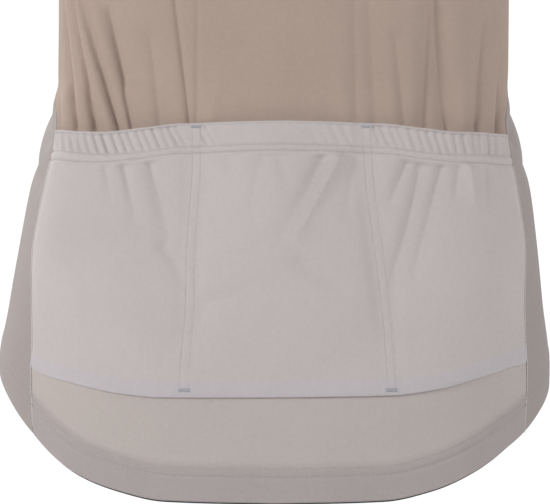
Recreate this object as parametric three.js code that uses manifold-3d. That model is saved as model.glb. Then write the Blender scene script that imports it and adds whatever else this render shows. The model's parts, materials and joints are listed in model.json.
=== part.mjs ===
// A hollow, filled-out cycling jersey with a drop tail, three back pockets, side panels and a front zip.
// Millimetres, +Z up. The front faces -Y and the wearer's left is +X.
// The origin is the centre of the neck opening, level with the two side neck points.
import * as THREE from 'three';
import { mergeVertices } from 'three/addons/utils/BufferGeometryUtils.js';
import Module from 'manifold-3d';

const wasm = await Module();
wasm.setup();

// Driving dimensions
const knit = 1.5; // wall of the body panels
const doubledKnit = 1.8; // wall of the collar
const pocketKnit = 1.2;
const tapeThickness = 1.0;
const seamGap = 0.3;
const zipOpening = 10; // between the edges of the two fronts
const collarHeight = 46;
const cuffRadius = 50;
const cuffCentre = { x: 276, y: -2, z: -262 };
const sleeveFromVertical = 35; // degrees
const squareness = 0.04; // how far a ring is from an ellipse towards a rounded box

// Angles are in degrees, from the centre back towards the wearer's left
const radians = THREE.MathUtils.degToRad;
const degrees = THREE.MathUtils.radToDeg;

function table(columns, rows) {
  return rows.map((row) => Object.fromEntries(columns.map((name, i) => [name, row[i]])));
}

// A smooth curve through a table's points that never overshoots them
function curve(rows, from, to) {
  const xs = rows.map((row) => row[from]);
  const ys = rows.map((row) => row[to]);
  const last = xs.length - 1;
  const secant = (i) => (ys[i + 1] - ys[i]) / (xs[i + 1] - xs[i]);
  const slopes = xs.map((_, i) => {
    if (i === 0) return secant(0);
    if (i === last) return secant(last - 1);
    const [a, b] = [secant(i - 1), secant(i)];
    return a * b > 0 ? (2 * a * b) / (a + b) : 0;
  });
  return (x) => {
    if (x <= xs[0]) return ys[0] + slopes[0] * (x - xs[0]);
    if (x >= xs[last]) return ys[last] + slopes[last] * (x - xs[last]);
    let i = 0;
    while (x > xs[i + 1]) i += 1;
    const h = xs[i + 1] - xs[i];
    const t = (x - xs[i]) / h;
    const start = (1 + 2 * t) * (1 - t) * (1 - t) * ys[i] + t * (1 - t) * (1 - t) * h * slopes[i];
    return start + t * t * (3 - 2 * t) * ys[i + 1] - t * t * (1 - t) * h * slopes[i + 1];
  };
}

// Rings of the body from under the hem to the neck seam. A station is a ring's height up to the armpit.
const ringColumns = ['station', 'zBack', 'zSide', 'zFront', 'halfWidth', 'back', 'front', 'shift'];
const rings = table(ringColumns, [
  [-660, -660, -660, -660, 187, 110, 104, 3],
  [-600, -600, -600, -600, 190, 115, 105, 3],
  [-551, -551, -551, -551, 192, 118, 105, 3],
  [-509, -509, -509, -509, 186.2, 116, 104, 2],
  [-467, -467, -467, -467, 180.3, 110, 102, 0.4],
  [-425, -425, -425, -425, 173.3, 101, 100, -1],
  [-397, -397, -397, -397, 166.6, 94, 99, -1.4],
  [-369, -369, -369, -369, 159.6, 88.5, 99, -1.6],
  [-355, -355, -355, -355, 156.8, 87, 99, -2.8],
  [-300, -300, -300, -300, 156.5, 91, 104, -3.3],
  [-240, -240, -240, -240, 165, 101, 110, -1.5],
  [-205, -205, -205, -205, 172, 107, 113, -0.5],
  [-150, -151, -140, -165, 180, 106, 112, 0],
  [-100, -105, -92, -131, 187, 99, 103, 0],
  [-60, -62, -52, -102, 190, 87, 90, 0],
  [-30, -32, -26, -84, 126, 69, 78, 0],
  [0, -8, 0, -70, 64, 52, 66, 0],
]);
const ringValue = {};
for (const name of ringColumns.slice(1)) ringValue[name] = curve(rings, 'station', name);
const station = { armpit: -205, shoulder: -60, neck: 0 };
const middleStation = -300; // where the search for a panel's points starts

// Level lines round the body: the station at each angle, alike on both sides but for the leans
const levelAngles = [0, 20, 30, 40, 57, 73, 90, 130, 180];
const levelStations = {
  hem: [-635.3, -634.4, -629, -619, -593.5, -571.5, -558, -549, -546],
  seat: [-563.9, -563.9, -561, -555.3, -546.3, -538, -527, -508, -502],
  casingBottom: [-402, -403, -408, -411, -411.5, -411, -411, -411, -411],
  casingTop: [-381, -382.3, -386, -389.2, -390.5, -390.5, -390.5, -390.5, -390.5],
};

// What a line gains on the wearer's left and loses on the right, as the jersey hangs a little to one side
const leans = table(['angle', 'hem', 'seat'], [
  [0, 0, 0],
  [20, 0, -0.6],
  [30, 0, -1],
  [40, -0.4, -1.5],
  [49, 0.6, -1.9],
  [57, 1.8, -0.3],
  [73, 3.7, 0],
  [90, 4.6, 0],
  [130, 2, 0],
  [180, 0, 0],
]);
const level = {};
for (const [name, stations] of Object.entries(levelStations)) {
  const rows = levelAngles.map((angle, i) => ({ angle, station: stations[i] }));
  const line = curve(rows, 'angle', 'station');
  const lean = name in leans[0] ? curve(leans, 'angle', name) : () => 0;
  level[name] = (angle) => line(Math.abs(angle)) + Math.sign(angle) * lean(Math.abs(angle));
}
for (const [name, value] of Object.entries(station)) level[name] = () => value;

// Seams down the body. Between armpit and shoulder they are the armhole's edges, above it the shoulder seam.
// Both back seams lie their lean nearer to the wearer's right.
const seams = table(['station', 'back', 'front', 'lean'], [
  [-660, 57, 125, 2.2],
  [-595, 57, 124, 2.2],
  [-543, 56.8, 123, 2.1],
  [-503, 60.5, 121, 1],
  [-460, 65.1, 118, 0.3],
  [-412, 64.4, 115, 0],
  [-385, 66.8, 113, 0],
  [-362, 80, 111, 0],
  [-340, 86, 110, 0],
  [-205, 88, 108, 0],
  [-150, 75, 110, 0],
  [-100, 69, 111, 0],
  [-74, 74, 106, 0],
  [-60, 90, 90, 0],
  [0, 90, 90, 0],
]);
const evenSeam = curve(seams, 'station', 'back');
const seamLean = curve(seams, 'station', 'lean');
const leftSeam = (at) => evenSeam(at) - seamLean(at);
const rightSeam = (at) => -evenSeam(at) - seamLean(at);
const backSeam = (side) => (side > 0 ? leftSeam : rightSeam);
const frontSeam = curve(seams, 'station', 'front');

// Rows of facets, counted up from the hem: each band lies between two levels
const bands = table(['from', 'to', 'rows'], [
  ['hem', 'seat', 4],
  ['seat', 'casingBottom', 5],
  ['casingBottom', 'casingTop', 1],
  ['casingTop', 'armpit', 8],
  ['armpit', 'shoulder', 6],
  ['shoulder', 'neck', 3],
]);
const rowAt = { hem: 0 };
for (const band of bands) rowAt[band.to] = rowAt[band.from] + band.rows;

function rowStation(row, angle) {
  const band = bands.find(({ to }) => row <= rowAt[to]);
  const t = (row - rowAt[band.from]) / band.rows;
  return THREE.MathUtils.lerp(level[band.from](angle), level[band.to](angle), t);
}

// A point of the ring with the given station, half width and depths
function ringPoint(angle, at) {
  const t = radians(angle);
  const facing = Math.cos(t);
  const [depth, zEnd] = facing > 0 ? [at.back, at.zBack] : [at.front, at.zFront];
  const scale = 1 / (1 - squareness);
  return new THREE.Vector3(
    at.shift + at.halfWidth * scale * (Math.sin(t) + squareness * Math.sin(3 * t)),
    depth * scale * (facing - squareness * Math.cos(3 * t)),
    at.zSide + (zEnd - at.zSide) * facing * facing,
  );
}

function bodyPoint(angle, at) {
  const ring = {};
  for (const name of ringColumns.slice(1)) ring[name] = ringValue[name](at);
  return ringPoint(angle, ring);
}

// Point and outward normal, with the lengths of one degree and of one unit of the second coordinate
function frameOf(surface, angle, at) {
  const step = 0.05;
  const point = surface(angle, at);
  const along = surface(angle + step, at).sub(surface(angle - step, at)).divideScalar(2 * step);
  const up = surface(angle, at + step).sub(surface(angle, at - step)).divideScalar(2 * step);
  const normal = new THREE.Vector3().crossVectors(along, up).normalize();
  return { point, normal: normal.negate(), perDegree: along.length(), perUnit: up.length() };
}

const bodyFrame = (angle, at) => frameOf(bodyPoint, angle, at);
const moved = (frame, distance) => frame.point.clone().addScaledVector(frame.normal, distance);

// The angle at a small distance x from the centre front
function frontAngle(x, at) {
  const perRadian = (ringValue.halfWidth(at) * (1 + 3 * squareness)) / (1 - squareness);
  return 180 - degrees(x / perRadian);
}

// A closed wall from rows of cells that each hold an outer and an inner point.
// A tube's last column joins its first.
function wall(grid, isTube = false) {
  const rows = grid.length;
  const columns = grid[0].length;
  const spans = isTube ? columns : columns - 1;
  const points = [];
  const faces = [];
  for (const side of ['outer', 'inner']) {
    for (const row of grid) points.push(...row.map((cell) => cell[side]));
  }
  const inner = rows * columns;
  const at = (r, c) => r * columns + (c % columns);
  const quad = (a, b, c, d) => faces.push([a, b, c], [a, c, d]);
  const rim = (a, b) => quad(b, a, inner + a, inner + b);
  for (let c = 0; c < spans; c += 1) {
    for (let r = 0; r < rows - 1; r += 1) {
      quad(at(r, c), at(r, c + 1), at(r + 1, c + 1), at(r + 1, c));
      quad(inner + at(r, c), inner + at(r + 1, c), inner + at(r + 1, c + 1), inner + at(r, c + 1));
    }
    rim(at(0, c), at(0, c + 1));
    rim(at(rows - 1, c + 1), at(rows - 1, c));
  }
  for (let r = 0; r < rows - 1 && !isTube; r += 1) {
    rim(at(r + 1, 0), at(r, 0));
    rim(at(r, columns - 1), at(r + 1, columns - 1));
  }
  return closedGeometry(points, faces);
}

// Turns the faces outward and makes the geometry
function closedGeometry(points, faces) {
  const volume = faces.reduce((sum, [a, b, c]) => {
    return sum + points[a].dot(new THREE.Vector3().crossVectors(points[b], points[c]));
  }, 0);
  const outward = volume > 0 ? faces : faces.map(([a, b, c]) => [a, c, b]);
  const geometry = new THREE.BufferGeometry();
  const numbers = points.flatMap((p) => [p.x, p.y, p.z]);
  geometry.setAttribute('position', new THREE.Float32BufferAttribute(numbers, 3));
  geometry.setIndex(outward.flat());
  geometry.computeVertexNormals();
  return geometry;
}

const spaced = (count, from, to) => {
  return Array.from({ length: count + 1 }, (_, i) => from + ((to - from) * i) / count);
};
const wholeRows = (from, to) => spaced(to - from, from, to);

// Folds drawn in above the pockets. A fold runs from its foot on the pocket to its tip, in x and z.
const foldColumns = ['footX', 'footZ', 'tipX', 'tipZ', 'halfWidth', 'depth'];
const backFolds = table(foldColumns, [
  [128, -384, 140, -318, 6, 1.6],
  [110, -385, 136, -305, 7, 3.2],
  [80, -382, 88, -338, 7, 1.8],
  [57, -380, 66, -322, 8, 2.2],
  [-68, -380, -61, -308, 8, 2.6],
  [-85, -382, -79, -345, 6, 1.5],
  [-111, -384, -114, -340, 7, 1.8],
  [-134, -384, -141, -338, 6, 1.8],
]);

// Soft folds in the pocket sheet under its casing, troughs as plus and the ridge as minus
const pocketFolds = table(foldColumns, [
  [104, -412, 96, -442, 6, 0.6],
  [87, -412, 74, -455, 7, 0.7],
  [-32, -408, -6, -458, 7, 0.7],
  [-40, -406, -14, -454, 7, -1.2],
  [-84, -411, -74, -436, 6, 0.5],
  [-94, -413, -70, -495, 6, 0.7],
  [-107, -414, -96, -456, 6, 0.6],
]);

function foldDepth(folds, { x, z }) {
  let depth = 0;
  for (const fold of folds) {
    const [runX, runZ] = [fold.tipX - fold.footX, fold.tipZ - fold.footZ];
    const length = runX * runX + runZ * runZ;
    const t = ((x - fold.footX) * runX + (z - fold.footZ) * runZ) / length;
    const inRun = THREE.MathUtils.clamp(t, 0, 1);
    const away = Math.hypot(x - fold.footX - inRun * runX, z - fold.footZ - inRun * runZ) / fold.halfWidth;
    const fade = 1 - 0.75 * inRun * inRun;
    depth += fold.depth * fade * Math.exp(-away * away);
  }
  return depth;
}

const rise = (x, from, to) => THREE.MathUtils.smoothstep(x, from, to);

// A body panel between two seam lines and two rows, with its edges just inside them
function bodyPanel({ from, to, columns, left, right, depthAt = () => 0 }) {
  const inset = 0.2; // half a seam gap and a little more, for the facets
  const grid = wholeRows(rowAt[from], rowAt[to]).map((row) => {
    return spaced(columns, 0, 1).map((share) => {
      let at = rowStation(row, THREE.MathUtils.lerp(left(middleStation), right(middleStation), share));
      let angle = 0;
      for (let pass = 0; pass < 4; pass += 1) {
        angle = THREE.MathUtils.lerp(left(at), right(at), share);
        at = rowStation(row, angle);
      }
      const seam = bodyFrame(angle, at);
      const turn = Math.sign(right(at) - left(at)) * (inset / seam.perDegree);
      if (share === 0) angle += turn;
      if (share === 1) angle -= turn;
      if (row === rowAt[from]) at += inset / seam.perUnit;
      if (row === rowAt[to]) at -= inset / seam.perUnit;
      const frame = bodyFrame(angle, at);
      const depth = depthAt(frame.point, angle, at);
      return { outer: moved(frame, -depth), inner: moved(frame, -depth - knit) };
    });
  });
  return wall(grid);
}

// The folds above the pockets fade out at the side seams and at the pocket's top
function backDepth(point, angle, at) {
  const fromSeam = rise(Math.min(leftSeam(at) - angle, angle - rightSeam(at)), 0, 4);
  const fromPocket = rise(at, -392, -378);
  return foldDepth(backFolds, point) * fromSeam * fromPocket;
}

const backColumns = 44;

function backPanel() {
  const shape = { from: 'seat', to: 'neck', columns: backColumns, left: rightSeam, right: leftSeam };
  return bodyPanel({ ...shape, depthAt: backDepth });
}

function backTail() {
  return bodyPanel({ from: 'hem', to: 'seat', columns: backColumns, left: rightSeam, right: leftSeam });
}

function sidePanel(side) {
  const right = (at) => side * frontSeam(at);
  return bodyPanel({ from: 'hem', to: 'armpit', columns: sideColumns, left: backSeam(side), right });
}

const sideColumns = 4;
const frontColumns = 8;

function frontPanel(side) {
  const left = (at) => side * frontSeam(at);
  const right = (at) => side * frontAngle(zipOpening / 2, at);
  return bodyPanel({ from: 'hem', to: 'neck', columns: frontColumns, left, right });
}

// The pocket sheet, stitched down along its sides, its bottom and two seams that part the three pockets
const pocketSeams = table(['station', 'left', 'right'], [
  [-564, 15.8, -20.8],
  [-511, 15.6, -20.1],
  [-460, 16.4, -18.5],
  [-420, 16.6, -17.3],
  [-380, 17.8, -17.6],
]);
const pocketSeamLeft = curve(pocketSeams, 'station', 'left');
const pocketSeamRight = curve(pocketSeams, 'station', 'right');
const pocketLift = { seam: 0.4, middle: 9, mouth: 8 };
const pocketTaper = 0.6; // how square a pocket is between its seams

// The seams from one side of the sheet to the other at a station
function pocketLines(at) {
  const inset = degrees(0.5 / ringValue.halfWidth(at));
  return [rightSeam(at) + inset, pocketSeamRight(at), pocketSeamLeft(at), leftSeam(at) - inset];
}

// How far the sheet stands off the back at a share of the way across one pocket
function liftAt(share, at, angle) {
  const across = Math.pow(Math.max(4 * share * (1 - share), 0), pocketTaper);
  const [bottom, top] = [level.seat(angle), level.casingBottom(angle)];
  const up = THREE.MathUtils.clamp((at - bottom) / (top - bottom), 0, 1);
  const filled = rise(up, 0, 0.45) * pocketLift.middle;
  const along = THREE.MathUtils.lerp(filled, pocketLift.mouth, rise(up, 0.55, 1));
  return pocketLift.seam + along * across;
}

// Cells of the pocket sheet: counts gives the columns across each pocket
function pocketGrid(counts, rows, stationOf, outerExtra) {
  return rows.map((row) => {
    const cells = [];
    counts.forEach((count, pocket) => {
      spaced(count, 0, 1).forEach((share, i) => {
        if (pocket > 0 && i === 0) return;
        let at = stationOf(row, 0);
        let angle = 0;
        for (let pass = 0; pass < 4; pass += 1) {
          const lines = pocketLines(at);
          angle = THREE.MathUtils.lerp(lines[pocket], lines[pocket + 1], share);
          at = stationOf(row, angle);
        }
        const frame = bodyFrame(angle, at);
        const lift = liftAt(share, at, angle);
        cells.push({
          outer: moved(frame, lift + pocketKnit + outerExtra(frame.point, angle, at, share)),
          inner: moved(frame, lift),
        });
      });
    });
    return cells;
  });
}

function pocketPanel() {
  const up = (row, angle) => {
    const bottom = level.seat(angle) + seamGap;
    return THREE.MathUtils.lerp(bottom, level.casingBottom(angle) - seamGap, row);
  };
  const folded = (point, angle, at, share) => {
    return -foldDepth(pocketFolds, point) * rise(share * (1 - share), 0, 0.08);
  };
  return wall(pocketGrid([12, 12, 12], spaced(9, 0, 1), up, folded));
}

// The casing along the pockets' top, gathered by its elastic.
// Its ripples lean, and die out over the middle pocket.
const gatherPitch = 5.5;
const gatherHeight = 1.3;
const gatherLean = 0.2; // sideways for each millimetre up
const arcShare = 0.76; // mean radius of the back's curve against the ring's half width
const gatherShare = table(['angle', 'share'], [
  [-66, 1],
  [-22, 1],
  [-14, 0.35],
  [-4, 0.1],
  [6, 0.1],
  [14, 0.5],
  [20, 1],
  [66, 1],
]);
const gatherAt = curve(gatherShare, 'angle', 'share');

function pocketCasing() {
  const up = (row, angle) => THREE.MathUtils.lerp(level.casingBottom(angle), level.casingTop(angle), row);
  const gathered = (point, angle, at, share) => {
    const arc = radians(angle) * ringValue.halfWidth(at) * arcShare + gatherLean * at;
    const ripple = 0.5 - 0.5 * Math.cos((2 * Math.PI * arc) / gatherPitch);
    return gatherHeight * gatherAt(angle) * ripple * rise(share * (1 - share), 0, 0.02);
  };
  return wall(pocketGrid([72, 14, 72], [0, 0.5, 1], up, gathered));
}

// The stand collar rises from the neck seam, open at the centre front for the zip
const collarLean = { side: 3, back: 2, front: 5 }; // inwards from seam to top edge
const collarClimb = { side: 0.92, front: 0.86 }; // against its height at the back
const collarFoot = (seamGap + 0.15) / collarHeight;

function collarPoint(angle, share) {
  const neck = {};
  for (const name of ringColumns.slice(1)) neck[name] = ringValue[name](station.neck);
  const climb = collarHeight * share;
  return ringPoint(angle, {
    ...neck,
    halfWidth: neck.halfWidth - collarLean.side * share,
    back: neck.back - collarLean.back * share,
    front: neck.front - collarLean.front * share,
    zBack: neck.zBack + climb,
    zSide: neck.zSide + climb * collarClimb.side,
    zFront: neck.zFront + climb * collarClimb.front,
  });
}

const collarFrame = (angle, share) => frameOf(collarPoint, angle, share);

function collarAngles() {
  const front = spaced(frontColumns, frontAngle(zipOpening / 2, station.neck), 90);
  const back = spaced(backColumns, 90, -90);
  return [...front, ...back.slice(1, -1), ...front.map((angle) => -angle).reverse()];
}

function collar() {
  const rows = [collarFoot, 0.33, 0.66, 1];
  const grid = rows.map((share) => collarAngles().map((angle) => {
    const frame = collarFrame(angle, share);
    const inner = new THREE.Vector3(frame.normal.x, frame.normal.y, 0).normalize();
    return { outer: frame.point, inner: frame.point.clone().addScaledVector(inner, -doubledKnit) };
  }));
  return wall(grid);
}

// Set-in short sleeves: each starts on its armhole and ends in a round cuff
function armholeLoop(side) {
  const loop = [];
  const add = (angle, at) => loop.push(bodyFrame(side * angle, at));
  const climb = spaced(rowAt.shoulder - rowAt.armpit, station.armpit, station.shoulder);
  climb.forEach((at) => add(evenSeam(at), at));
  climb.slice(1, -1).reverse().forEach((at) => add(frontSeam(at), at));
  const under = spaced(sideColumns, frontSeam(station.armpit), evenSeam(station.armpit));
  under.slice(0, -1).forEach((angle) => add(angle, station.armpit));
  return loop;
}

const sleeveRows = 7;
const sleeveBloom = 0.35; // how far the cloth runs on past the armhole before it turns down the arm

// Point at a share of the way along a strand that leaves and arrives in given directions
function strandPoint({ start, end, leave, arrive }, t) {
  return start.clone().multiplyScalar((1 + 2 * t) * (1 - t) * (1 - t))
    .addScaledVector(leave, t * (1 - t) * (1 - t))
    .addScaledVector(end, t * t * (3 - 2 * t))
    .addScaledVector(arrive, -t * t * (1 - t));
}

const middleOf = (points) => {
  return points.reduce((sum, point) => sum.add(point), new THREE.Vector3()).divideScalar(points.length);
};

function sleeve(side) {
  const loop = armholeLoop(side);
  const lean = radians(sleeveFromVertical);
  const axis = new THREE.Vector3(side * Math.sin(lean), 0, -Math.cos(lean));
  const outwards = new THREE.Vector3(side * Math.cos(lean), 0, Math.sin(lean));
  const backwards = new THREE.Vector3(0, 1, 0);
  const cuff = new THREE.Vector3(side * cuffCentre.x, cuffCentre.y, cuffCentre.z);
  const middle = middleOf(loop.map(({ point }) => point));
  const count = loop.length;
  const strands = loop.map(({ point, normal }, i) => {
    const tangent = loop[(i + 1) % count].point.clone().sub(loop[(i + count - 1) % count].point);
    const away = new THREE.Vector3().crossVectors(normal, tangent).normalize().multiplyScalar(side);
    const start = point.clone().addScaledVector(away, seamGap).addScaledVector(axis, seamGap / 2);
    const seen = point.clone().sub(middle);
    const turn = Math.atan2(seen.dot(backwards), seen.dot(outwards));
    const end = cuff.clone()
      .addScaledVector(outwards, cuffRadius * Math.cos(turn))
      .addScaledVector(backwards, cuffRadius * Math.sin(turn));
    const length = end.distanceTo(start);
    const bloom = sleeveBloom * Math.max(0, away.dot(outwards));
    const leave = axis.clone().addScaledVector(away, bloom).multiplyScalar(length);
    return { start, end, leave, arrive: axis.clone().multiplyScalar(length) };
  });
  const rings = spaced(sleeveRows, 0, 1).map((t) => strands.map((strand) => strandPoint(strand, t)));
  const grid = rings.map((ring, r) => ring.map((point, c) => {
    const round = ring[(c + 1) % count].clone().sub(ring[(c + count - 1) % count]);
    const down = rings[Math.min(r + 1, sleeveRows)][c].clone().sub(rings[Math.max(r - 1, 0)][c]);
    const normal = new THREE.Vector3().crossVectors(round, down).normalize();
    if (normal.dot(point.clone().sub(middleOf(ring))) < 0) normal.negate();
    return { outer: point, inner: point.clone().addScaledVector(normal, -knit) };
  }));
  return wall(grid, true);
}

// The closed zip runs behind the fronts' edges from the hem to the top of the collar
const zipClearance = 0.5;
const neckBend = 0.8; // more clearance where the tape passes the neck seam
const chainHalfWidth = 2.1;
const tapeHalfWidth = 15;

function zipRows(x, topShare) {
  const rows = [];
  for (const row of wholeRows(rowAt.hem, rowAt.neck - 1)) {
    const at = rowStation(row, 180) + (row === 0 ? seamGap : 0);
    const frame = bodyFrame(Math.sign(x) * frontAngle(Math.abs(x), at), at);
    rows.push({ point: moved(frame, -knit - zipClearance), normal: frame.normal });
  }
  for (const share of [collarFoot, 0.4, topShare]) {
    const angle = Math.sign(x) * frontAngle(Math.abs(x), station.neck);
    const frame = collarFrame(angle, share);
    const normal = new THREE.Vector3(frame.normal.x, frame.normal.y, 0).normalize();
    const behind = doubledKnit + zipClearance + (share === collarFoot ? neckBend : 0);
    rows.push({ point: frame.point.clone().addScaledVector(normal, -behind), normal });
  }
  return rows;
}

function ribbon(xs, topShare, proud, thickness) {
  const lines = xs.map((x) => zipRows(x, topShare));
  const grid = lines[0].map((_, r) => lines.map((line) => ({
    outer: line[r].point.clone().addScaledVector(line[r].normal, proud),
    inner: line[r].point.clone().addScaledVector(line[r].normal, proud - thickness),
  })));
  return wall(grid);
}

const chainEdge = chainHalfWidth + seamGap;
const zipTape = (side) => {
  return ribbon([chainEdge, 8, tapeHalfWidth].map((x) => side * x), 0.98, 0, tapeThickness);
};
const chainTop = 0.62; // share of the collar's height where the slider starts
const chainThickness = 1.8;
const zipChain = () => {
  const proud = (chainThickness - tapeThickness) / 2;
  return ribbon([-chainHalfWidth, chainHalfWidth], chainTop, proud, chainThickness);
};

// Slider and pull tab, in a frame of their own: x across, z up the zip, front at -y
const plate = { width: 8, height: 11, thickness: 1.2 };
const plateGap = 2.4; // between the slider's two plates
const bridge = { width: 6.4, radius: 0.8, reach: 2.9, cheek: 1 };
const eye = { radius: 1.9, bore: 1.1, width: 3.4 };
const pull = { width: 5.2, length: 25, thickness: 1.3 };

function solid(geometry) {
  geometry.deleteAttribute('normal');
  geometry.deleteAttribute('uv');
  const merged = mergeVertices(geometry);
  const mesh = new wasm.Mesh({
    numProp: 3,
    vertProperties: new Float32Array(merged.attributes.position.array),
    triVerts: new Uint32Array(merged.index.array),
  });
  return new wasm.Manifold(mesh);
}

function geometryOf(manifold) {
  const mesh = manifold.getMesh();
  const geometry = new THREE.BufferGeometry();
  geometry.setAttribute('position', new THREE.BufferAttribute(new Float32Array(mesh.vertProperties), 3));
  geometry.setIndex(new THREE.BufferAttribute(new Uint32Array(mesh.triVerts), 1));
  geometry.computeVertexNormals();
  return geometry;
}

const box = (size, centre) => solid(new THREE.BoxGeometry(...size).translate(...centre));
const acrossBar = (radius, width, y, z) => {
  return solid(new THREE.CylinderGeometry(radius, radius, width, 16).rotateZ(Math.PI / 2).translate(0, y, z));
};

const frontFace = -plateGap / 2 - plate.thickness;
const pivot = { y: frontFace - bridge.reach + bridge.radius, z: 1.5 };

function sliderBody() {
  const plateY = plateGap / 2 + plate.thickness / 2;
  const size = [plate.width, plate.thickness, plate.height];
  const post = box([2.4, plateGap + plate.thickness, 2.6], [0, 0, plate.height / 2 - 1.6]);
  let body = box(size, [0, -plateY, 0]).add(box(size, [0, plateY, 0])).add(post);
  for (const side of [-1, 1]) {
    const x = (side * (bridge.width - bridge.cheek)) / 2;
    const cheekDepth = bridge.reach + 0.4;
    const y = frontFace + 0.4 - cheekDepth / 2;
    body = body.add(box([bridge.cheek, cheekDepth, 2.6], [x, y, pivot.z]));
  }
  return geometryOf(body.add(acrossBar(bridge.radius, bridge.width - 0.2, pivot.y, pivot.z)));
}

// The pull tab's own origin is its pivot
function pullTab() {
  const blade = box([pull.width, pull.thickness, pull.length], [0, -0.4, -pull.length / 2 - 2.2]);
  const neck = box([eye.width, pull.thickness, 3], [0, -0.4, -1.5]);
  const barrel = acrossBar(eye.radius, eye.width, 0, 0);
  return geometryOf(blade.add(neck).add(barrel).subtract(acrossBar(eye.bore, eye.width + 2, 0, 0)));
}

// The dark gripper tape inside the back hem
const gripper = { height: 8, below: 0.5, angle: 52, columns: 24 };

function hemGripper() {
  const grid = [-gripper.below, gripper.height / 2, gripper.height].map((up) => {
    return spaced(gripper.columns, -gripper.angle, gripper.angle).map((angle) => {
      const frame = bodyFrame(angle, level.hem(angle) + up);
      return { outer: moved(frame, -knit - seamGap), inner: moved(frame, -knit - seamGap - tapeThickness) };
    });
  });
  return wall(grid);
}

const cloth = (color) => new THREE.MeshStandardMaterial({ color, roughness: 0.85, metalness: 0 });
const sand = cloth(0xa8968c);
const taupe = cloth(0xb4aca8);
const sideTaupe = cloth(0xaaa6a0);
const paleGrey = cloth(0xbbb3b2);
const tapeCloth = cloth(0x9c8f86);
const darkTape = cloth(0x2e2b2c);
const chainPlastic = new THREE.MeshStandardMaterial({ color: 0x8d8179, roughness: 0.5, metalness: 0 });
const metal = new THREE.MeshStandardMaterial({ color: 0x8c8a88, roughness: 0.35, metalness: 0.9 });

const jersey = new THREE.Group();

function add(name, geometry, material) {
  const mesh = new THREE.Mesh(geometry, material);
  mesh.name = name;
  jersey.add(mesh);
  return mesh;
}

add('back_panel', backPanel(), sand);
add('back_tail', backTail(), taupe);
add('pocket_panel', pocketPanel(), paleGrey);
add('pocket_casing', pocketCasing(), paleGrey);
add('hem_gripper', hemGripper(), darkTape);
add('collar', collar(), sand);
add('zip_chain', zipChain(), chainPlastic);
for (const [name, side] of [['left', 1], ['right', -1]]) {
  add(`side_panel_${name}`, sidePanel(side), sideTaupe);
  add(`front_${name}`, frontPanel(side), sand);
  add(`sleeve_${name}`, sleeve(side), sand);
  add(`zip_tape_${name}`, zipTape(side), tapeCloth);
}

// The slider sits at the top of the collar, in line with its front
const zipTop = zipRows(0.001, 0.8);
const [below, seat] = zipTop.slice(-2);
const zipLean = Math.atan2(seat.point.y - below.point.y, seat.point.z - below.point.z);
const sliderPlace = new THREE.Group();
sliderPlace.position.set(0, seat.point.y + tapeThickness / 2, seat.point.z);
sliderPlace.rotation.x = -zipLean;
jersey.add(sliderPlace);
const slider = new THREE.Mesh(sliderBody(), metal);
slider.name = 'zip_slider';
const tab = new THREE.Mesh(pullTab(), metal);
tab.name = 'zip_pull';
tab.position.set(0, pivot.y, pivot.z);
sliderPlace.add(slider, tab);

export default jersey;
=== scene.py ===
# A hollow, filled-out cycling jersey with a drop tail and three back pockets, as thin cloth on the frame.
# Tables and sizes are in millimetres, and meshes are written in metres. The wearer's left is +X, the back +Y.
import json
import math

import bpy
import numpy as np
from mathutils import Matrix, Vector

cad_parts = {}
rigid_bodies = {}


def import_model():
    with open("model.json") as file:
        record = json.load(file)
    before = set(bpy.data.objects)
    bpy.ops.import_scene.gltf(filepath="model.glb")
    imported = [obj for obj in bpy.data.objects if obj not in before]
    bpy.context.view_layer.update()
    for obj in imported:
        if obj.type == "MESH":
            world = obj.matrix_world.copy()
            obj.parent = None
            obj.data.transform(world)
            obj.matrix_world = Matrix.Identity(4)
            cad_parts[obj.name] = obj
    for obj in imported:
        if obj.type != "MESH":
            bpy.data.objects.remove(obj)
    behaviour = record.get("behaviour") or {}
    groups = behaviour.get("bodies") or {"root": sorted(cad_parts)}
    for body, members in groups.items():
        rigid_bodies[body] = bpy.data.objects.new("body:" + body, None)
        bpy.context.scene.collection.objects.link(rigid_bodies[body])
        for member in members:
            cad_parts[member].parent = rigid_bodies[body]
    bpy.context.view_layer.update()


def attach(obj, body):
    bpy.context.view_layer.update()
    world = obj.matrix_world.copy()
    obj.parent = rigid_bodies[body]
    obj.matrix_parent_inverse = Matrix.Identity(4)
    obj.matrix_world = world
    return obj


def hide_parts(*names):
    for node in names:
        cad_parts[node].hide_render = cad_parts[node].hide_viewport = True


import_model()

# Driving dimensions, alike with the solids
knit = 1.5
doubled_knit = 1.8
pocket_knit = 1.2
seam_gap = 0.3
zip_opening = 10
collar_height = 46
cuff_radius = 50
cuff_centre = (276, -2, -262)
sleeve_from_vertical = 35
squareness = 0.04
hem_rows = (16.5, 22.0)  # the two rows of stitching above the hem
hem_turn = 23.5  # how far the cloth is turned up inside
to_metres = 0.001

BODY = "jersey"


def table(columns, rows):
    return {name: np.array([row[i] for row in rows], float) for i, name in enumerate(columns.split())}


def rows_of(columns, rows):
    return [dict(zip(columns.split(), row)) for row in rows]


def lerp(a, b, t):
    return a + (b - a) * t


def rise(x, start, end):
    t = np.clip((x - start) / (end - start), 0, 1)
    return t * t * (3 - 2 * t)


def bell(distance, width):
    return np.exp(-((distance / width) ** 2))


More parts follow.
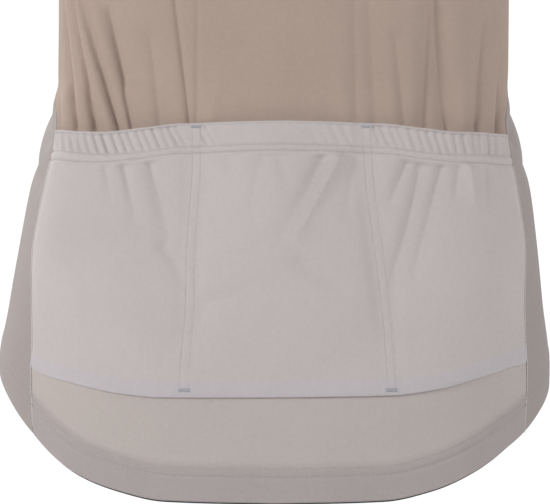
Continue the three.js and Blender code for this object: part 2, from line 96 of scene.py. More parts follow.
# A smooth curve through a table's points that never overshoots them
def curve(rows, source, target):
    xs, ys = rows[source], rows[target]
    steps = np.diff(xs)
    secants = np.diff(ys) / steps
    product = secants[:-1] * secants[1:]
    total = secants[:-1] + secants[1:]
    inner = np.where(product > 0, 2 * product / np.where(total == 0, 1, total), 0)
    slopes = np.concatenate([secants[:1], inner, secants[-1:]])

    def value(x):
        x = np.asarray(x, float)
        i = np.clip(np.searchsorted(xs, x) - 1, 0, len(steps) - 1)
        h = steps[i]
        t = (np.clip(x, xs[0], xs[-1]) - xs[i]) / h
        start = (1 + 2 * t) * (1 - t) ** 2 * ys[i] + t * (1 - t) ** 2 * h * slopes[i]
        inside = start + t * t * (3 - 2 * t) * ys[i + 1] - t * t * (1 - t) * h * slopes[i + 1]
        return inside + np.minimum(x - xs[0], 0) * slopes[0] + np.maximum(x - xs[-1], 0) * slopes[-1]

    return value


# Rings of the body from under the hem to the neck seam. A station is a ring's height up to the armpit.
ring_columns = "station zBack zSide zFront halfWidth back front shift"
rings = table(ring_columns, [
    [-660, -660, -660, -660, 187, 110, 104, 3],
    [-600, -600, -600, -600, 190, 115, 105, 3],
    [-551, -551, -551, -551, 192, 118, 105, 3],
    [-509, -509, -509, -509, 186.2, 116, 104, 2],
    [-467, -467, -467, -467, 180.3, 110, 102, 0.4],
    [-425, -425, -425, -425, 173.3, 101, 100, -1],
    [-397, -397, -397, -397, 166.6, 94, 99, -1.4],
    [-369, -369, -369, -369, 159.6, 88.5, 99, -1.6],
    [-355, -355, -355, -355, 156.8, 87, 99, -2.8],
    [-300, -300, -300, -300, 156.5, 91, 104, -3.3],
    [-240, -240, -240, -240, 165, 101, 110, -1.5],
    [-205, -205, -205, -205, 172, 107, 113, -0.5],
    [-150, -151, -140, -165, 180, 106, 112, 0],
    [-100, -105, -92, -131, 187, 99, 103, 0],
    [-60, -62, -52, -102, 190, 87, 90, 0],
    [-30, -32, -26, -84, 126, 69, 78, 0],
    [0, -8, 0, -70, 64, 52, 66, 0],
])
ring_value = {name: curve(rings, "station", name) for name in ring_columns.split()[1:]}
middle_station = -300

# Level lines round the body: the station at each angle, alike on both sides but for the leans
levels = table("angle hem seat casingBottom casingTop", [
    [0, -635.2, -563.9, -401.3, -381.5],
    [20, -633.9, -563.9, -402.8, -382.8],
    [30, -627.8, -561, -407.4, -386.6],
    [40, -617.6, -555.3, -410.1, -389.8],
    [57, -592.4, -546.3, -410.6, -390.4],
    [73, -571.5, -538, -410.6, -390],
    [90, -558, -527, -410.6, -390],
    [130, -549, -508, -410.6, -390],
    [180, -546, -502, -410.6, -390],
])

# What a line gains on the wearer's left and loses on the right, as the jersey hangs a little to one side
leans = table("angle hem seat casingBottom casingTop", [
    [0, 0, 0, 0, 0],
    [20, 0, -0.6, 0, 0],
    [30, 0, -1, 0, 0],
    [40, -0.4, -1.5, 0.2, 0],
    [49, 0.6, -1.9, 0.9, 0.4],
    [57, 2.8, -0.3, 1.7, 1.3],
    [73, 5, 0, 1.8, 1.7],
    [90, 5.6, 0, 1.8, 1.7],
    [130, 2, 0, 0.9, 0.8],
    [180, 0, 0, 0, 0],
])


def level_line(name):
    line = curve(levels, "angle", name)
    lean = curve(leans, "angle", name) if name in leans else np.zeros_like
    return lambda angle: line(np.abs(angle)) + np.sign(angle) * lean(np.abs(angle))


def flat_line(station):
    return lambda angle: np.full(np.shape(angle), float(station))


level = {name: level_line(name) for name in ("hem", "seat", "casingBottom", "casingTop")}
flat_levels = {"foldsTop": -288, "armpit": -205, "shoulder": -60, "neck": 0}
level.update({name: flat_line(at) for name, at in flat_levels.items()})

# Seams down the body. Between armpit and shoulder they are the armhole's edges, above it the shoulder seam.
# Both back seams lie their lean nearer to the wearer's right.
seams = table("station back front lean", [
    [-660, 57, 125, 2.2],
    [-595, 57, 124, 2.2],
    [-543, 56.8, 123, 2.1],
    [-503, 60.5, 121, 1],
    [-460, 65.1, 118, 0.3],
    [-412, 64.4, 115, 0],
    [-385, 66.8, 113, 0],
    [-362, 80, 111, 0],
    [-340, 86, 110, 0],
    [-205, 88, 108, 0],
    [-150, 75, 110, 0],
    [-100, 69, 111, 0],
    [-74, 74, 106, 0],
    [-60, 90, 90, 0],
    [0, 90, 90, 0],
])
even_seam = curve(seams, "station", "back")
seam_lean = curve(seams, "station", "lean")
front_seam = curve(seams, "station", "front")


def left_seam(at):
    return even_seam(at) - seam_lean(at)


def right_seam(at):
    return -even_seam(at) - seam_lean(at)


def back_seam(side):
    return left_seam if side > 0 else right_seam


# How far inside the back's two seams a place is, in degrees. It is minus on the side panels.
def inside_seams(angle, at):
    return np.minimum(left_seam(at) - angle, angle - right_seam(at))


def ring_point(angle, ring):
    t = np.radians(angle)
    facing = np.cos(t)
    depth = np.where(facing > 0, ring["back"], ring["front"])
    z_end = np.where(facing > 0, ring["zBack"], ring["zFront"])
    scale = 1 / (1 - squareness)
    x = ring["shift"] + ring["halfWidth"] * scale * (np.sin(t) + squareness * np.sin(3 * t))
    y = depth * scale * (facing - squareness * np.cos(3 * t))
    z = ring["zSide"] + (z_end - ring["zSide"]) * facing ** 2
    return np.stack(np.broadcast_arrays(x, y, z), axis=-1)


def body_point(angle, at):
    return ring_point(angle, {name: value(at) for name, value in ring_value.items()})


def unit(vectors):
    return vectors / np.maximum(np.linalg.norm(vectors, axis=-1, keepdims=True), 1e-12)


# Points and outward normals, with the lengths of one degree and of one unit of the second coordinate
def frame_of(surface, angle, at, step=0.05):
    angle, at = np.broadcast_arrays(np.asarray(angle, float), np.asarray(at, float))
    along = (surface(angle + step, at) - surface(angle - step, at)) / (2 * step)
    up = (surface(angle, at + step) - surface(angle, at - step)) / (2 * step)
    normal = -unit(np.cross(along, up))
    return surface(angle, at), normal, np.linalg.norm(along, axis=-1), np.linalg.norm(up, axis=-1)


# The angle at a small distance x from the centre front
def front_angle(x, at):
    per_radian = ring_value["halfWidth"](at) * (1 + 3 * squareness) / (1 - squareness)
    return 180 - np.degrees(x / per_radian)


# How far a place is above the hem's edge, square to that edge
def above_hem(angle, at):
    slope = (level["hem"](angle + 0.5) - level["hem"](angle - 0.5)) / np.radians(1)
    lean = slope / (ring_value["halfWidth"](at) * 0.85)
    return (at - level["hem"](angle)) / np.sqrt(1 + lean ** 2)


def hem_station(angle, distance):
    near = level["hem"](angle)
    return near + distance * distance / np.maximum(above_hem(angle, near + distance), 1e-6)


# Depth of the folds of a table. A trough is plus and a ridge minus. Its left side is as wide as halfWidth,
# and its right side, towards -X, is that times slack. crease is the further depth of its sharp middle, and
# bow bends it sideways.
fold_columns = "footX footZ tipX tipZ halfWidth slack depth crease bow"


def fold_depth(folds, x, z):
    depth = 0
    for fold in folds:
        run_x, run_z = fold["tipX"] - fold["footX"], fold["tipZ"] - fold["footZ"]
        length = math.hypot(run_x, run_z)
        t = ((x - fold["footX"]) * run_x + (z - fold["footZ"]) * run_z) / length ** 2
        in_run = np.clip(t, 0, 1)
        aside = ((x - fold["footX"]) * run_z - (z - fold["footZ"]) * run_x) / length
        aside = aside * np.sign(run_z) - fold["bow"] * 4 * in_run * (1 - in_run)
        width = fold["halfWidth"] * np.where(aside < 0, fold["slack"], 1)
        past = np.abs(t - in_run) * length / fold["halfWidth"]
        away = np.hypot(aside / width, past)
        fade = 1 - 0.5 * in_run ** 1.5
        sharp = np.exp(-3.8 * (np.sqrt(away ** 2 + 0.006) - 0.08))
        depth = depth + (fold["depth"] * np.exp(-away ** 2) + fold["crease"] * sharp) * fade
    return depth


# Folds drawn in above the pockets
back_folds = rows_of(fold_columns, [
    [150, -388, 153, -330, 3, 1.0, 0.5, 0.8, 0],
    [140, -388, 152, -285, 4, 1.3, 1.2, 4.4, 0.5],
    [126, -389, 149, -262, 4.5, 1.5, 1.6, 5.0, 1],
    [118, -388, 121, -365, 4, 1.2, 1.2, 0.6, 0],
    [114, -388, 143, -286, 8, 0.4, -2.2, -0.4, 0],
    [109, -390, 148, -264, 4.5, 2.6, 1.7, 4.2, 0],
    [105, -352, 130, -270, 6, 4.0, 4.2, 0, 0],
    [100, -388, 118, -306, 5, 2.0, 1.4, 3.2, 0],
    [81, -386, 88, -325, 8, 1.4, 1.9, 1.6, 0],
    [61, -384, 74, -270, 5, 1.6, 1.4, 2.4, 0],
    [56, -382, 55, -280, 5, 1.0, 0.7, 1.2, 0],
    [46, -378, 40, -352, 5, 1.0, -1.1, -0.3, 0],
    [18, -379, 20, -352, 7, 1.0, 0.5, 0, 0],
    [-14, -379, -13, -340, 8, 1.0, 0.5, 0, 0],
    [-46, -380, -38, -345, 5, 1.0, -1.1, 0, 0],
    [-52, -378, -50, -280, 6, 1.2, 1.3, 0.9, 0],
    [-65, -384, -59, -270, 7, 1.4, 2.8, 0.9, 0],
    [-84, -385, -78, -325, 6, 1.2, 1.6, 2.0, 0],
    [-98, -386, -101, -310, 8, 1.3, 3.0, 2.4, 0],
    [-114, -388, -104, -275, 8, 1.3, 3.4, 2.6, 1],
    [-124, -385, -127, -346, 4, 1.0, -0.9, 0, 0],
    [-134, -389, -140, -315, 5, 1.1, 1.6, 2.6, 0],
    [-150, -391, -154, -340, 4, 1.0, 1.2, 4.4, 0],
])

# Soft folds over the shoulder blades and from the armholes
upper_back_folds = rows_of(fold_columns, [
    [146, -212, 92, -178, 9, 1.3, 3.3, 2.2, 3],
    [150, -196, 110, -146, 8, 1.2, 2.4, 1.6, -2],
    [-148, -210, -96, -184, 9, 1.2, 3.0, 2.0, 2],
    [-152, -190, -106, -150, 8, 1.3, 2.5, 1.6, 3],
    [28, -232, 58, -118, 14, 1.4, 1.8, 1.2, 4],
    [-36, -240, -60, -128, 13, 1.2, 1.7, 1.2, -3],
    [60, -30, 96, -84, 9, 1.2, 1.8, 1.2, 2],
    [-66, -32, -92, -90, 8, 1.3, 2.0, 1.4, -2],
])

# Folds of the fronts at the waist, from the armholes and beside the zip
front_folds = rows_of(fold_columns, [
    [40, -398, 118, -372, 10, 1.4, 4.0, 2.6, 3],
    [36, -362, 128, -338, 9, 1.2, 3.0, 2.1, -3],
    [52, -432, 124, -410, 9, 1.3, 2.8, 1.8, 2],
    [-34, -390, -122, -368, 10, 1.3, 3.6, 2.3, -3],
    [-44, -352, -118, -334, 8, 1.2, 2.6, 1.8, 2],
    [-48, -424, -128, -402, 9, 1.4, 3.0, 2.1, 3],
    [152, -214, 96, -176, 9, 1.3, 4.4, 2.9, 3],
    [148, -186, 104, -142, 8, 1.2, 3.0, 2.1, -2],
    [-150, -212, -94, -180, 9, 1.2, 4.2, 2.9, -2],
    [-150, -190, -108, -146, 8, 1.3, 3.2, 2.1, 2],
    [30, -494, 70, -476, 8, 1.2, 1.8, 1.3, 1],
    [-34, -500, -78, -484, 8, 1.3, 1.8, 1.3, -1],
    [18, -150, 52, -226, 12, 1.2, 2.2, 1.6, 3],
    [-20, -140, -58, -218, 11, 1.3, 2.4, 1.6, -3],
])

# Folds of the side panels in y and z
side_folds = rows_of(fold_columns, [
    [34, -392, -26, -366, 8, 1.2, 2.6, 1.6, 2],
    [20, -360, -34, -342, 7, 1.3, 1.9, 1.2, -2],
    [40, -424, -20, -408, 8, 1.2, 1.6, 1.0, 2],
    [10, -232, -14, -292, 7, 1.2, 1.9, 1.2, 1],
])

# Soft folds and dents of the pocket sheet under its casing
pocket_folds = rows_of(fold_columns, [
    [116, -412, 111, -436, 5, 1.2, 1.4, 1.2, 0],
    [104, -412, 96, -446, 5.5, 1.2, 2.0, 1.9, 0],
    [87, -411, 74, -457, 6, 1.4, 2.3, 1.9, 0],
    [77, -465, 62, -486, 5, 1.3, 1.9, 1.4, 0],
    [34, -405, 31, -416, 4, 1.0, 0.9, 0.7, 0],
    [11, -405, 19, -440, 7, 1.3, 1.1, 0.8, 0],
    [0, -405, -5, -424, 5, 1.2, 1.1, 0.8, 0],
    [-28, -406, -2, -456, 8, 1.6, 2.0, 1.9, 0],
    [-41, -403, -12, -456, 5, 1.2, -3.0, -2.5, 0],
    [-50, -405, -45, -440, 6, 1.2, 1.1, 0.8, 0],
    [54, -503, 22, -494, 8, 1.3, 1.6, 1.0, 0],
    [-13, -475, -46, -494, 9, 1.3, 1.4, 1.2, 0],
    [-84, -409, -74, -436, 5, 1.3, 2.0, 1.9, 0],
    [-93, -412, -69, -502, 6, 1.6, 2.6, 2.0, -2],
    [-107, -413, -89, -484, 5.5, 1.3, 2.3, 1.9, 0],
    [-118, -413, -116, -432, 4.5, 1.1, 1.6, 1.4, 0],
    [-125, -413, -128, -436, 4, 1.0, -1.4, -1.2, 0],
    [-136, -414, -137, -438, 5, 1.1, 1.1, 0.8, 0],
])


# Cloth dips where it is sewn into a seam
def seam_dip(distance):
    return 0.75 * bell(distance, 1.2)


def groove(distance, width=0.8, depth=0.35):
    return depth * bell(distance, width)


# Height of the outer face of a turned-up hem, with its two rows of stitching sunk in
def turned_hem(above, width, depth):
    height = 0.45 * (1 - rise(above, hem_turn - 1, hem_turn + 1.2))
    for row in hem_rows:
        height = height - groove(above - row, width, depth)
    return height


def hem_height(angle, at):
    return turned_hem(above_hem(angle, at), 0.9, 0.5)


# Slow unevenness that any worn cloth has, in place of a drafted curve
def drift(point, size, seed):
    x, y, z = (point[..., i] / size for i in range(3))
    a = np.sin(1.7 * x + 0.9 * z + seed) * np.cos(1.1 * z - 0.6 * y + 2.3 * seed)
    b = np.sin(2.9 * z - 1.3 * x + 1.9 * seed) * np.cos(2.3 * x + 0.7 * y - seed)
    return 0.6 * a + 0.4 * b


def body_surface(depth_at):
    def surface(angle, at):
        point, normal, per_degree, _ = frame_of(body_point, angle, at)
        depth = depth_at(point, angle, at, per_degree)
        return point - normal * depth[..., None]
    return surface


def back_depth(point, angle, at, per_degree):
    from_seam = inside_seams(angle, at) * per_degree
    folds = fold_depth(back_folds, point[..., 0], point[..., 2]) * rise(at, -402, -391)
    folds = folds + fold_depth(upper_back_folds, point[..., 0], point[..., 2])
    folds = folds * rise(from_seam, 0, 9)
    loose = 0.5 * drift(point, 48, 1.0) * rise(from_seam, 0, 30) * rise(at, -380, -330)
    return folds + loose + seam_dip(from_seam) + seam_dip(at) + seam_dip(at - level["seat"](angle))


def tail_depth(point, angle, at, per_degree):
    from_seam = inside_seams(angle, at) * per_degree
    below_seat = level["seat"](angle) - at
    loose = 0.35 * drift(point, 30, 2.1) * rise(below_seat, 0, 12) * rise(from_seam, 0, 12)
    return loose + 0.4 * seam_dip(from_seam) + 0.1 * seam_dip(below_seat) - hem_height(angle, at)


def side_depth(point, angle, at, per_degree):
    away = np.abs(angle)
    from_seam = np.minimum(-inside_seams(angle, at), front_seam(at) - away) * per_degree
    folds = fold_depth(side_folds, point[..., 1], point[..., 2]) * rise(from_seam, 0, 9)
    loose = 0.4 * drift(point, 36, 0.4) * rise(from_seam, 0, 14)
    dips = 0.5 * seam_dip(from_seam) + seam_dip(flat_levels["armpit"] - at)
    return folds + loose + dips - hem_height(angle, at)


def front_depth(point, angle, at, per_degree):
    away = np.abs(angle)
    from_seam = (away - front_seam(at)) * per_degree
    from_zip = np.abs(point[..., 0]) - zip_opening / 2
    folds = fold_depth(front_folds, point[..., 0], point[..., 2]) * rise(from_seam, 0, 9)
    folds = folds * rise(from_zip, 8, 26) * rise(above_hem(angle, at), 24, 44)
    loose = 0.5 * drift(point, 44, 3.3) * rise(from_seam, 0, 20) * rise(from_zip, 6, 26)
    edge = groove(from_zip - 2) + groove(from_zip - 6.5) - 0.3 * (1 - rise(from_zip, 6.5, 8.5))
    return folds + loose + edge + seam_dip(from_seam) + seam_dip(at) - hem_height(angle, at)


back_surface = body_surface(back_depth)
tail_surface = body_surface(tail_depth)
side_surface = body_surface(side_depth)
front_surface = body_surface(front_depth)

# The pocket sheet, stitched down along its sides, its bottom and two seams that part the three pockets
pocket_seams = table("station left right", [
    [-564, 15.8, -20.8],
    [-511, 15.6, -20.1],
    [-460, 16.4, -18.5],
    [-420, 16.6, -17.3],
    [-380, 17.8, -17.6],
])
pocket_seam_left = curve(pocket_seams, "station", "left")
pocket_seam_right = curve(pocket_seams, "station", "right")
pocket_lift = {"seam": 0.4, "middle": 7.5, "mouth": 5.5}
pocket_rows_aside = 2.6  # of the rows of stitching on each side of a pocket seam
stitched_flat = 3.2
pocket_radius = 178  # turns widths at the pockets' seams into degrees


def pocket_lines(at):
    inset = np.degrees(0.5 / ring_value["halfWidth"](at))
    return [right_seam(at) + inset, pocket_seam_right(at), pocket_seam_left(at), left_seam(at) - inset]


# Shares of the way across its pocket, and the distance to the nearest seam
def across_pocket(angle, at, per_degree):
    lines = pocket_lines(at)
    share = np.zeros(np.shape(angle))
    nearest = np.full(np.shape(angle), 1e9)
    for low, high in zip(lines, lines[1:]):
        inside = (angle >= low) & (angle <= high)
        share = np.where(inside, (angle - low) / (high - low), share)
    for line in lines[1:3]:
        nearest = np.minimum(nearest, np.abs(angle - line) * per_degree)
    sides = np.minimum(angle - lines[0], lines[3] - angle) * per_degree
    return share, nearest, sides


def pocket_height(angle, at, per_degree):
    share, seam, sides = across_pocket(angle, at, per_degree)
    bottom, top = level["seat"](angle), level["casingBottom"](angle)
    up = np.clip((at - bottom) / (top - bottom), 0, 1)
    filled = rise(up, 0, 0.5) * pocket_lift["middle"]
    along = lerp(filled, pocket_lift["mouth"], rise(up, 0.5, 1))
    across = np.power(np.clip(4 * share * (1 - share), 0, 1), 0.9)
    free = rise(np.minimum(seam, sides), stitched_flat, stitched_flat + 9)
    return pocket_lift["seam"] + along * across * lerp(0.25, 1, free), seam, sides


def pocket_surface(angle, at):
    point, normal, per_degree, _ = frame_of(body_point, angle, at)
    height, seam, sides = pocket_height(angle, at, per_degree)
    free = rise(np.minimum(seam, sides), 1, 12)
    above_seat = at - level["seat"](angle)
    folds = fold_depth(pocket_folds, point[..., 0], point[..., 2])
    below_casing = level["casingBottom"](angle) - at
    loose = 0.35 * drift(point, 34, 4.2)
    held = free * rise(above_seat, 2, 30) * rise(below_casing, 0.3, 5)
    turned = 0.3 * (1 - rise(above_seat, 9.5, 11.5))
    height = height + pocket_knit + turned - (folds + loose) * held
    height = height - pocket_seam_groove(seam) - side_dip(sides) - 0.6 * seam_dip(above_seat)
    height = height - groove(below_casing, 1.0, 0.5)
    return point + normal * height[..., None]


# The pockets' sheet sinks further where it is sewn into the side seams
def side_dip(sides):
    return 1.35 * bell(sides, 2.2)


# Cloth sinks under both rows of a pocket's stitching and stands between them
def pocket_seam_groove(seam):
    return groove(seam - pocket_rows_aside, 0.8, 0.16) - 0.12 * bell(seam, 1.4)


def casing_rows_apart(angle):
    return lerp(4.4, 6.1, rise(np.abs(angle), 22, 58))


# Gathers of the casing, one row for each run of grooves. They lean more towards the middle pocket.
gather_columns = "startX endX count startLean endLean startDepth endDepth"
gather_runs = rows_of(gather_columns, [
    [150, 64, 16, 0.16, 0.58, 1.9, 1.6],
    [50, 30, 4, 0.62, 0.7, 1.1, 0.3],
    [-24, -46, 4, 0.55, 0.5, 0.3, 0.8],
    [-66, -154, 17, 0.46, 0.03, 1.5, 1.7],
])


def gather_table():
    chance = np.random.default_rng(11)
    grooves = []
    for run in gather_runs:
        for share in np.linspace(0, 1, run["count"]):
            x = lerp(run["startX"], run["endX"], share) + chance.uniform(-0.6, 0.6)
            lean = lerp(run["startLean"], run["endLean"], share) + chance.uniform(-0.05, 0.05)
            depth = lerp(run["startDepth"], run["endDepth"], share) * chance.uniform(0.75, 1.1)
            grooves.append((x, lean, depth))
    return grooves


gathers = gather_table()
gather_middle = -394  # the height at which a groove's place is given


def casing_surface(angle, at):
    point, normal, per_degree, _ = frame_of(body_point, angle, at)
    height, seam, sides = pocket_height(angle, at, per_degree)
    bottom, top = level["casingBottom"](angle), level["casingTop"](angle)
    above_rows = at - bottom - casing_rows_apart(angle)
    below_top = top - at
    between_rows = bell(at - bottom - 0.5 * casing_rows_apart(angle), 2)
    shaped = rise(above_rows, -0.3, 1.8) * rise(below_top, 0.8, 2.4) + 0.2 * between_rows
    depth = 0
    for x, lean, strength in gathers:
        here = point[..., 0] - x - lean * (point[..., 2] - gather_middle)
        depth = depth + strength * (0.75 * bell(here, 2.0) + 0.25 * bell(here, 0.8))
    held = rise(seam, 2.2, 4.5) * rise(sides, 0, 1.5)
    rolled = 0.7 * bell(below_top - 0.5, 0.9)
    height = height + pocket_knit + rolled + 0.3 * between_rows - depth * shaped * held
    height = height - groove(above_rows, 0.8, 0.7) - groove(at - bottom - 0.3, 0.8, 0.6)
    height = height - pocket_seam_groove(seam) - side_dip(sides)
    return point + normal * height[..., None]


# Shares across a panel about width millimetres wide, with the given close columns beside both its ends
def close_at_ends(count, width, close, first_wide):
    close = np.array(close) / width
    wide = np.linspace(first_wide / width, 1 - first_wide / width, count)
    return np.concatenate([close, wide, 1 - close[::-1]])


def edged(count, width):
    return close_at_ends(count, width, [0.1, 0.5, 1.0, 1.6, 2.4, 3.6], 5.2)


# The same for a pocket, with closer columns where its seams are stitched and none met twice
def sewn(count, width):
    return close_at_ends(count, width, [0.05, 0.7, 1.3, 1.8, 2.2, 2.5, 2.8, 3.2, 3.8], 4.6)


# Rows between levels of a chain: each row is the level below, the level above and a share of the way
def chain_rows(chain):
    rows = []
    for (low, _), (high, shares) in zip(chain, chain[1:]):
        if isinstance(shares, int):
            shares = np.linspace(0, 1, shares + 1)[1:]
        rows += [(low, high, share) for share in shares]
    low, high, _ = rows[0]
    return [(low, high, 0.0)] + rows


# Angles and stations of a grid between two seam lines
def panel_grid(chain, lines, shares):
    rows = chain_rows(chain)

    def angles_at(stations):
        return [lerp(left(at), right(at), share)
                for left, right, share, at in zip(lines, lines[1:], shares, stations)]

    def stations_at(block):
        return np.stack([lerp(level[low](a), level[high](a), t) for (low, high, t), a in zip(rows, block)])

    angles = angles_at([np.full((len(rows), 1), float(middle_station))] * len(shares))
    for _ in range(5):
        stations = [stations_at(block) for block in angles]
        angles = angles_at(stations)
    return np.concatenate(angles, axis=1), np.concatenate(stations, axis=1)


def normals_of(points, towards):
    across = np.gradient(points, axis=1)
    along = np.gradient(points, axis=0)
    normal = unit(np.cross(across, along))
    turned = np.sign(np.sum(normal * towards, axis=-1, keepdims=True))
    return normal * np.where(turned == 0, 1, turned)


def new_mesh(name, points, faces, uv=None):
    mesh = bpy.data.meshes.new(name)
    mesh.from_pydata((np.asarray(points) * to_metres).tolist(), [], faces)
    if uv is not None:
        corners = np.empty(len(mesh.loops), dtype=np.int32)
        mesh.loops.foreach_get("vertex_index", corners)
        layer = mesh.uv_layers.new(name="weave")
        layer.uv.foreach_set("vector", np.asarray(uv[:, :2], np.float32)[corners].ravel())
        # A third column masks painted shade on the tail's hem and a tint on the pocket's turned strip
        if uv.shape[1] > 2:
            painted_shade_and_tint_mask = mesh.attributes.new("painted_shade_and_tint_mask", "FLOAT", "POINT")
            painted_shade_and_tint_mask.data.foreach_set("value", np.asarray(uv[:, 2], np.float32))
    mesh.polygons.foreach_set("use_smooth", np.ones(len(mesh.polygons), dtype=bool))
    mesh.update()
    piece = bpy.data.objects.new(name, mesh)
    bpy.context.scene.collection.objects.link(piece)
    return piece


# A thin closed sheet with rounded top and bottom edges, from a grid of outer points and their normals.
# A ring's last column joins its first.
def shell(name, outer, normal, thickness, uv, ring=False):
    thickness = np.broadcast_to(thickness, outer.shape[:2])[..., None]
    inner = outer - normal * thickness
    last = len(outer) - 1

    def rim(row, beside):
        out = unit(outer[row] - outer[beside])
        return (outer[row] + inner[row]) / 2 + out * thickness[row] * 0.45

    loop = np.concatenate([outer, rim(last, last - 1)[None], inner[::-1], rim(0, 1)[None]])
    loop_uv = np.concatenate([uv, uv[-1:], uv[::-1], uv[:1]])
    count, columns = loop.shape[:2]
    index = np.arange(count * columns).reshape(count, columns)
    below, above = index, np.roll(index, -1, axis=0)
    if ring:
        quads = np.stack([below, np.roll(below, -1, 1), np.roll(above, -1, 1), above], axis=-1)
    else:
        quads = np.stack([below[:, :-1], below[:, 1:], above[:, 1:], above[:, :-1]], axis=-1)
    faces = quads.reshape(-1, 4).tolist()
    if not ring:
        for column, turn in ((0, 1), (columns - 1, -1)):
            ends = [[index[r, column], index[r + 1, column], index[count - 2 - r - 1, column],
                     index[count - 2 - r, column]][::turn] for r in range(last)]
            rims = [[index[last, column], index[last + 1, column], index[last + 2, column]][::turn],
                    [index[count - 2, column], index[count - 1, column], index[0, column]][::turn]]
            faces += [[int(i) for i in face] for face in ends + rims]
    sample = len(outer) // 2, columns // 2
    across = outer[sample[0], sample[1] + 1] - outer[sample]
    up = outer[sample[0] + 1, sample[1]] - outer[sample]
    if np.dot(np.cross(across, up), normal[sample]) < 0:
        faces = [face[::-1] for face in faces]
    return new_mesh(name, loop.reshape(-1, 3), faces, loop_uv.reshape(len(loop) * columns, -1))


def weave_places(angle, at):
    around = np.radians(angle) * 150
    return np.stack([around, at], axis=-1) * to_metres


# The same with a third column that is 1 where the hem is turned up and doubled. On the tail it masks a
# painted shade that darkens the hem.
def hem_places(angle, at):
    painted_shade_and_tint_mask = 1 - rise(above_hem(angle, at), hem_rows[1] - 2, hem_turn + 5)
    return np.concatenate([weave_places(angle, at), painted_shade_and_tint_mask[..., None]], axis=-1)


def panel(name, chain, left, right, count, width, surface, thickness):
    angle, at = panel_grid(chain, [left, right], [edged(count, width)])
    outer = surface(angle, at)
    normal = normals_of(outer, frame_of(body_point, angle, at)[1])
    places = hem_places if thickness is hem_thickness else weave_places
    return shell(name, outer, normal, thickness(angle, at), places(angle, at))


def hem_thickness(angle, at):
    return knit + np.maximum(hem_height(angle, at), 0)


def even_thickness(angle, at):
    return np.full(np.shape(angle), knit)


# Stitches lie along a path as short closed stitches of thread, in one mesh
stitch_rings = table("along radius", [
    [-0.5, 0.35],
    [-0.3, 0.9],
    [0, 1.0],
    [0.3, 0.9],
    [0.5, 0.35],
])
stitch_sides = 6


def stitch_template():
    turn = np.linspace(0, 2 * np.pi, stitch_sides, endpoint=False)
    points = []
    for along, radius in zip(stitch_rings["along"], stitch_rings["radius"]):
        arch = 0.5 * (1 - (2 * along) ** 2)
        points += [(along, radius * math.cos(a), radius * math.sin(a) + arch) for a in turn]
    faces = [list(range(stitch_sides))[::-1]]
    count = len(stitch_rings["along"])
    for ring in range(count - 1):
        for side in range(stitch_sides):
            a, b = ring * stitch_sides + side, ring * stitch_sides + (side + 1) % stitch_sides
            faces.append([a, b, b + stitch_sides, a + stitch_sides])
    faces.append([(count - 1) * stitch_sides + side for side in range(stitch_sides)])
    return np.array(points), faces


# Rows of a path's values at places along it
def values_at(places, travelled, values):
    return np.stack([np.interp(places, travelled, values[:, i]) for i in range(3)], axis=-1)


def travelled_along(path):
    return np.concatenate([[0], np.cumsum(np.linalg.norm(np.diff(path, axis=0), axis=1))])


# One mesh of rounded bars. A group has the bars' centres, three directions and the sizes along them.
def rounded_bars(name, groups):
    template, template_faces = stitch_template()
    points, faces = [], []
    for centre, directions, sizes in groups:
        local = 0
        for i, (direction, size) in enumerate(zip(directions, sizes)):
            local = local + template[None, :, i:i + 1] * size * direction[:, None, :]
        start = sum(len(block) for block in points)
        points.append((centre[:, None, :] + local).reshape(-1, 3))
        for base in range(start, start + len(centre) * len(template), len(template)):
            faces += [[base + k for k in face] for face in template_faces]
    return new_mesh(name, np.concatenate(points), faces)


# paths is a list of (points, normals). A stitch is turned across its path where crosswise is true.
def stitches(name, paths, pitch=2.6, length=2.2, radius=0.22, sink=0.05, crosswise=False):
    groups = []
    for path, normal in paths:
        travelled = travelled_along(path)
        places = np.arange(pitch / 2, travelled[-1], pitch)
        centre = values_at(places, travelled, path)
        out = unit(values_at(places, travelled, normal))
        tangent = unit(values_at(places + 0.4, travelled, path) - values_at(places - 0.4, travelled, path))
        side = unit(np.cross(out, tangent))
        if crosswise:
            tangent, side = side, -tangent
        groups.append((centre - out * sink, (tangent, side, out), (length, radius, radius)))
    return rounded_bars(name, groups)


# A path on a surface, from angles and stations
def path_on(surface, angle, at):
    points = surface(angle, at)
    return points, frame_of(body_point, angle, at)[1]


# Materials
def srgb(red, green, blue):
    def linear(value):
        value = value / 255
        return value / 12.92 if value <= 0.04045 else ((value + 0.055) / 1.055) ** 2.4
    return (linear(red), linear(green), linear(blue), 1)


def new_material(name):
    material = bpy.data.materials.new(name)
    material.use_nodes = True
    nodes = material.node_tree.nodes
    nodes.clear()
    shader = nodes.new("ShaderNodeBsdfPrincipled")
    output = nodes.new("ShaderNodeOutputMaterial")
    material.node_tree.links.new(shader.outputs["BSDF"], output.inputs["Surface"])
    return material, nodes, material.node_tree.links, shader


def shade(color, factor):
    return tuple(channel * factor for channel in color[:3]) + (1,)


def math_node(nodes, links, operation, first, second=None):
    node = nodes.new("ShaderNodeMath")
    node.operation = operation
    for socket, value in zip(node.inputs, (first, second)):
        if value is None:
            continue
        if isinstance(value, (int, float)):
            socket.default_value = value
        else:
            links.new(value, socket)
    return node.outputs[0]


def noise(nodes, links, scale, detail):
    places = nodes.new("ShaderNodeTexCoord")
    node = nodes.new("ShaderNodeTexNoise")
    node.inputs["Scale"].default_value = scale
    node.inputs["Detail"].default_value = detail
    links.new(places.outputs["Object"], node.inputs["Vector"])
    return node.outputs["Fac"]


# A colour from a little darker to a little lighter, as the amount goes from low to high
def two_tones(nodes, links, amount, color, mottle, low, high):
    tone = nodes.new("ShaderNodeValToRGB")
    for element, position, factor in zip(tone.color_ramp.elements, (low, high), (1 - mottle, 1 + mottle)):
        element.position = position
        element.color = shade(color, factor)
    links.new(amount, tone.inputs["Fac"])
    return tone.outputs["Color"]


